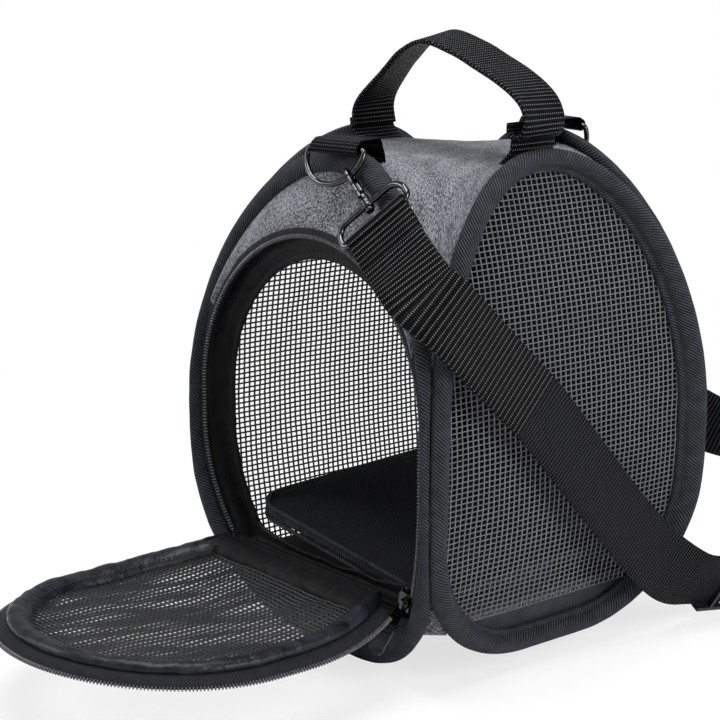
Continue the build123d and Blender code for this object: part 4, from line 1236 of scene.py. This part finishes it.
ends = {}
for end, web, bar, turn, lean, angle, pull in (
        ("front", COARSE_WEB, (6, -84, 279.6), 14.5, 28, 42, (52, -95, 247)),
        ("rear", FINE_WEB, (4, 84, 279.6), 180, 18, 112, (13, 96.5, 226))):
    ring_at, hook_at, tab_at = ends[end] = hang(bar, turn, lean, angle, pull)
    wire = [ring_at.at(x, y, 0) for x, y in ring_path()]
    ring = threads(f"{end}_ring_wire", [wire], WIRE, 14, GUNMETAL, closed=(0,))
    finish_piece(ring, f"{end}_ring", "gunmetal", GUNMETAL, f"{end}_d_ring")

    hook = [threads(f"{end}_hook_bow", [[hook_at.at(*p) for p in HOOK_BOW]], WIRE, 14, GUNMETAL),
            lathe(f"{end}_hook_collar", hook_at, COLLAR),
            lathe(f"{end}_hook_shaft", hook_at, SHAFT),
            threads(f"{end}_hook_ear", [[hook_at.at(*p) for p in EAR]], 1.15, 10, GUNMETAL)]
    finish_piece(join(f"{end}_hook_cast", hook), f"{end}_snap", "gunmetal", GUNMETAL, f"{end}_hook")

    gate = [threads(f"{end}_gate_lever", [[hook_at.at(*p) for p in LEVER]], 1.0, 10, GUNMETAL),
            lathe(f"{end}_gate_thumb", Place(hook_at.at(0, -4.3, -9), hook_at.x, hook_at.y), THUMB, 12)]
    finish_piece(join(f"{end}_gate_wire", gate), f"{end}_snap_gate", "gunmetal", GUNMETAL, f"{end}_gate")

    bends = [corner for x, z, r, first in LOOP_CORNERS for corner in arc(x, z, r, first, first - 90, 12)]
    wire = [hook_at.at(p.x, 0, p.y) for p in filled(bends, 3)]
    loop = [threads(f"{end}_loop_wire", [wire], LOOP_WIRE, 14, GUNMETAL, closed=(0,)),
            lathe(f"{end}_loop_barrel", hook_at, BARREL)]
    finish_piece(join(f"{end}_swivel_loop_cast", loop), f"{end}_ring", "gunmetal", GUNMETAL, f"{end}_swivel_loop")

    rows = [[hook_at.at(s * STRAP / 2, y * k, LOOP_LOW + (z - LOOP_LOW) * (1 if k == 1 else 0.995))
             for s, k in ((-1, 0.8), (-0.98, 1), (-0.5, 1), (0, 1), (0.5, 1), (0.98, 1), (1, 0.8))]
            for y, z in fold_path()]
    folded = grid_piece(f"{end}_fold_web", rows + [rows[0]])
    finish_piece(folded, f"{end}_ring", "black_webbing", web, f"{end}_strap_fold")

    rows = [[tab_at.at(p.x, p.y, s * TAB_HALF) for s in (-1, -0.97, -0.5, 0, 0.5, 0.97, 1)] for p in tab_section()]
    tab = grid_piece(f"{end}_tab_web", rows + [rows[0]], flip=True)
    seams = []
    for n, x in enumerate((7.5, 15.5)):
        seam = along([tab_at.at(x, 4.75, -13), tab_at.at(x, 4.75, 13)], TAB_STITCH)
        seams.append(grains(f"{end}_tab_seam_{n}", [(p, run, tab_at.y) for p, run in seam], 1.9, 0.6, 0.5, THREAD))
    finish_piece(tab, "carrier", "black_webbing", FINE_WEB, f"{end}_tab")
    for seam in seams:
        finish_piece(seam, "carrier", "black_webbing", None)

# ---------------------------------------------------------------- shoulder strap
# Control points of the strap's line and the direction of its width there: doubled, then single
FRONT_END = [((90.0, -106.5, 226.5), (0.42, 0.66, 0.62)), ((102.0, -108.0, 219.5), (0.30, 0.68, 0.66)),
             ((109.0, -102.0, 213.0), (0.16, 0.70, 0.69)), ((110.0, -91.0, 203.0), (0.05, 0.70, 0.71)),
             ((109.5, -70.0, 183.5), (0.0, 0.69, 0.72)), ((109.3, -36.0, 152.0), (0.0, 0.68, 0.73))]
STRAP_ROUTE = [((109.3, -31.6, 147.95), (0.0, 0.68, 0.73)), ((109.5, -2.0, 115.0), (0.0, 0.70, 0.71)),
               ((109.4, 30.0, 79.0), (0.0, 0.72, 0.69)), ((109.6, 58.0, 50.0), (0.05, 0.62, 0.78)),
               ((110.0, 78.0, 35.0), (0.30, 0.35, 0.88)), ((110.5, 93.0, 28.5), (0.50, 0.12, 0.86)),
               ((112.5, 137.0, 21.5), (0.50, 0.12, 0.86)), ((119.0, 166.0, 26.0), (0.40, -0.10, 0.91)),
               ((124.0, 184.0, 46.0), (0.55, -0.35, 0.76)), ((117.0, 184.0, 74.0), (0.75, -0.45, 0.50)),
               ((101.0, 164.0, 95.0), (0.55, -0.25, 0.80)), ((76.0, 137.0, 105.0), (0.35, 0.0, 0.94)),
               ((51.0, 121.0, 125.0), (0.50, 0.0, 0.86)), ((31.0, 112.0, 154.0), (0.76, 0.0, 0.65)),
               ((20.0, 106.5, 180.0), (0.93, 0.0, 0.36))]


def leaves(hook_at):
    """The strap's first two control points, just beyond its fold."""
    start = LOOP_LOW - FOLD - 0.2
    return [(tuple(hook_at.at(0, 0, start - step)), tuple(hook_at.x)) for step in (0, 5.0)]


def smooth_route(route):
    """Points along the smooth line that the route's points control, in metres."""
    curve = bpy.data.curves.new("strap_line", "CURVE")
    curve.dimensions = "3D"
    spline = curve.splines.new("NURBS")
    spline.points.add(len(route) - 1)
    for point, ((x, y, z), width) in zip(spline.points, route):
        point.co = (x * MM, (y + CENTRE) * MM, z * MM, 1)
    spline.order_u = 3
    spline.use_endpoint_u = True
    spline.resolution_u = 12
    line = added("strap_line", curve)
    mesh = result_of(line)
    points = [v.co.copy() for v in mesh.vertices]
    bpy.data.objects.remove(line)
    bpy.data.curves.remove(curve)
    bpy.data.meshes.remove(mesh)
    return points


def strap_turn(route, line):
    """Direction of the strap's width at each station, turning as the route does."""
    places, widths, last = [Vector(p) for p, w in route], [], Vector(route[0][1])
    for p, w in route:
        last = -Vector(w) if last.dot(Vector(w)) < 0 else Vector(w)
        widths.append(last.normalized())
    turns = []
    for p in line:
        nearest = None
        for a, b, w, x in zip(places, places[1:], widths, widths[1:]):
            t = max(0.0, min(1.0, (p - a).dot(b - a) / (b - a).length_squared))
            gap = (a.lerp(b, t) - p).length
            if nearest is None or gap < nearest:
                nearest, width = gap, w.lerp(x, t)
        turns.append(width)
    for smoothing in range(6):
        turns = [(turns[max(0, i - 1)] + w + turns[min(len(turns) - 1, i + 1)]).normalized()
                 for i, w in enumerate(turns)]
    return turns


route = [*leaves(ends["front"][1]), *FRONT_END, *STRAP_ROUTE, *reversed(leaves(ends["rear"][1]))]
strap_path = smooth_route(route)
strap_line = even([Vector((p.x / MM, p.y / MM - CENTRE, p.z / MM)) for p in strap_path], 2.2)
seam_at = min(range(len(strap_line)), key=lambda i: (strap_line[i] - Vector(FRONT_END[-1][0])).length)
turns = strap_turn(route, strap_line)
doubled = strip("strap_doubled", strap_line[:seam_at + 1], lambda i: turns[i], DOUBLED, STRAP)
single = strip("strap_single", strap_line[seam_at:], lambda i: turns[i + seam_at], SINGLE, STRAP)
doubled.data.materials.append(COARSE_WEB)
single.data.materials.append(FINE_WEB)
shoulder = join("shoulder_strap_web", [doubled, single])
finish_piece(shoulder, "carrier", "black_webbing", None, "front_strap_end", "shoulder_strap")
strap_length = sum((b - a).length for a, b in zip(strap_path, strap_path[1:]))
tuple(strap_path[0])
[tuple(p) for p in strap_path]

# ---------------------------------------------------------------- camera, light and floor
WHITE = (1, 1, 1, 1)
camera = added("camera", bpy.data.cameras.new("camera"))
camera.location = (0.8534, -0.677475, 0.4265)
aim = Vector((-0.077, 0.089425, 0.137)) - camera.location
camera.rotation_euler = aim.to_track_quat("-Z", "Y").to_euler()
camera.data.lens, camera.data.sensor_width = 104.25, 36.0
bpy.context.scene.camera = camera


def lamp(name, place, size, power):
    """White area light aimed at the carrier's middle."""
    data = bpy.data.lights.new(name, "AREA")
    data.shape, data.size, data.size_y, data.energy = "RECTANGLE", *size, power
    light = added(name, data)
    light.location = place
    light.rotation_euler = (Vector((0, 0.09, 0.12)) - light.location).to_track_quat("-Z", "Y").to_euler()


lamp("overhead", (0.0, -0.1, 1.5), (0.9, 0.9), 21)
lamp("front_left", (-1.0, -1.3, 0.9), (0.7, 0.9), 13)
lamp("right_side", (1.5, 0.35, 0.8), (0.6, 0.9), 19)


def seen_ray(tree):
    """1 for a ray that the camera sends, straight or through something clear, otherwise 0."""
    ray = tree.nodes.new("ShaderNodeLightPath").outputs
    return Value(tree, ray["Is Camera Ray"]).step("MAXIMUM", Value(tree, ray["Is Transmission Ray"]))


def mixed(tree, share, lit, seen, end):
    """Send a mix of two shaders to a tree's end."""
    mix = node(tree, "ShaderNodeMixShader", Fac=share)
    tree.links.new(lit.outputs[0], mix.inputs[1])
    tree.links.new(seen.outputs[0], mix.inputs[2])
    tree.links.new(mix.outputs[0], tree.nodes[end].inputs["Surface"])


# The floor keeps the carrier's shadow near it and turns to plain white further off
backdrop, room, plain = blank("pale floor", 0.9, Base_Color=(0.9, 0.9, 0.9, 1))
spot = room.nodes.new("ShaderNodeTexCoord")
reach = node(room, "ShaderNodeVectorMath", Vector=spot.outputs["Object"])
reach.operation = "LENGTH"
fade = node(room, "ShaderNodeMapRange", Value=reach.outputs["Value"], From_Min=0.25, From_Max=0.7, To_Min=0.72)
mixed(room, seen_ray(room) * Value(room, fade.outputs["Result"]), plain, room.nodes.new("ShaderNodeEmission"),
      "Material Output")
floor = added("floor", bpy.data.meshes.new("floor"))
floor.data.from_pydata([(-6, -6, 0), (6, -6, 0), (6, 6, 0), (-6, 6, 0)], [], [(0, 1, 2, 3)])
floor.data.materials.append(backdrop)

# The surround lights the carrier softly, and is plain white where it is seen
world = bpy.context.scene.world or bpy.data.worlds.new("studio")
bpy.context.scene.world = world
world.use_nodes = True
sky = world.node_tree
surround = sky.nodes["Background"]
surround.inputs["Color"].default_value = WHITE
surround.inputs["Strength"].default_value = 0.34
mixed(sky, seen_ray(sky), surround, node(sky, "ShaderNodeBackground", Color=WHITE, Strength=1.0),
      "World Output")
bpy.context.scene.view_settings.view_transform = "Standard"

# ---------------------------------------------------------------- carried-over nodes
for label, finish in (("zip_slider", ZIP_METAL), ("zip_pull", ZIP_METAL), ("strap_adjuster", BUCKLE)):
    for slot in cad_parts[label].material_slots:
        slot.material = finish
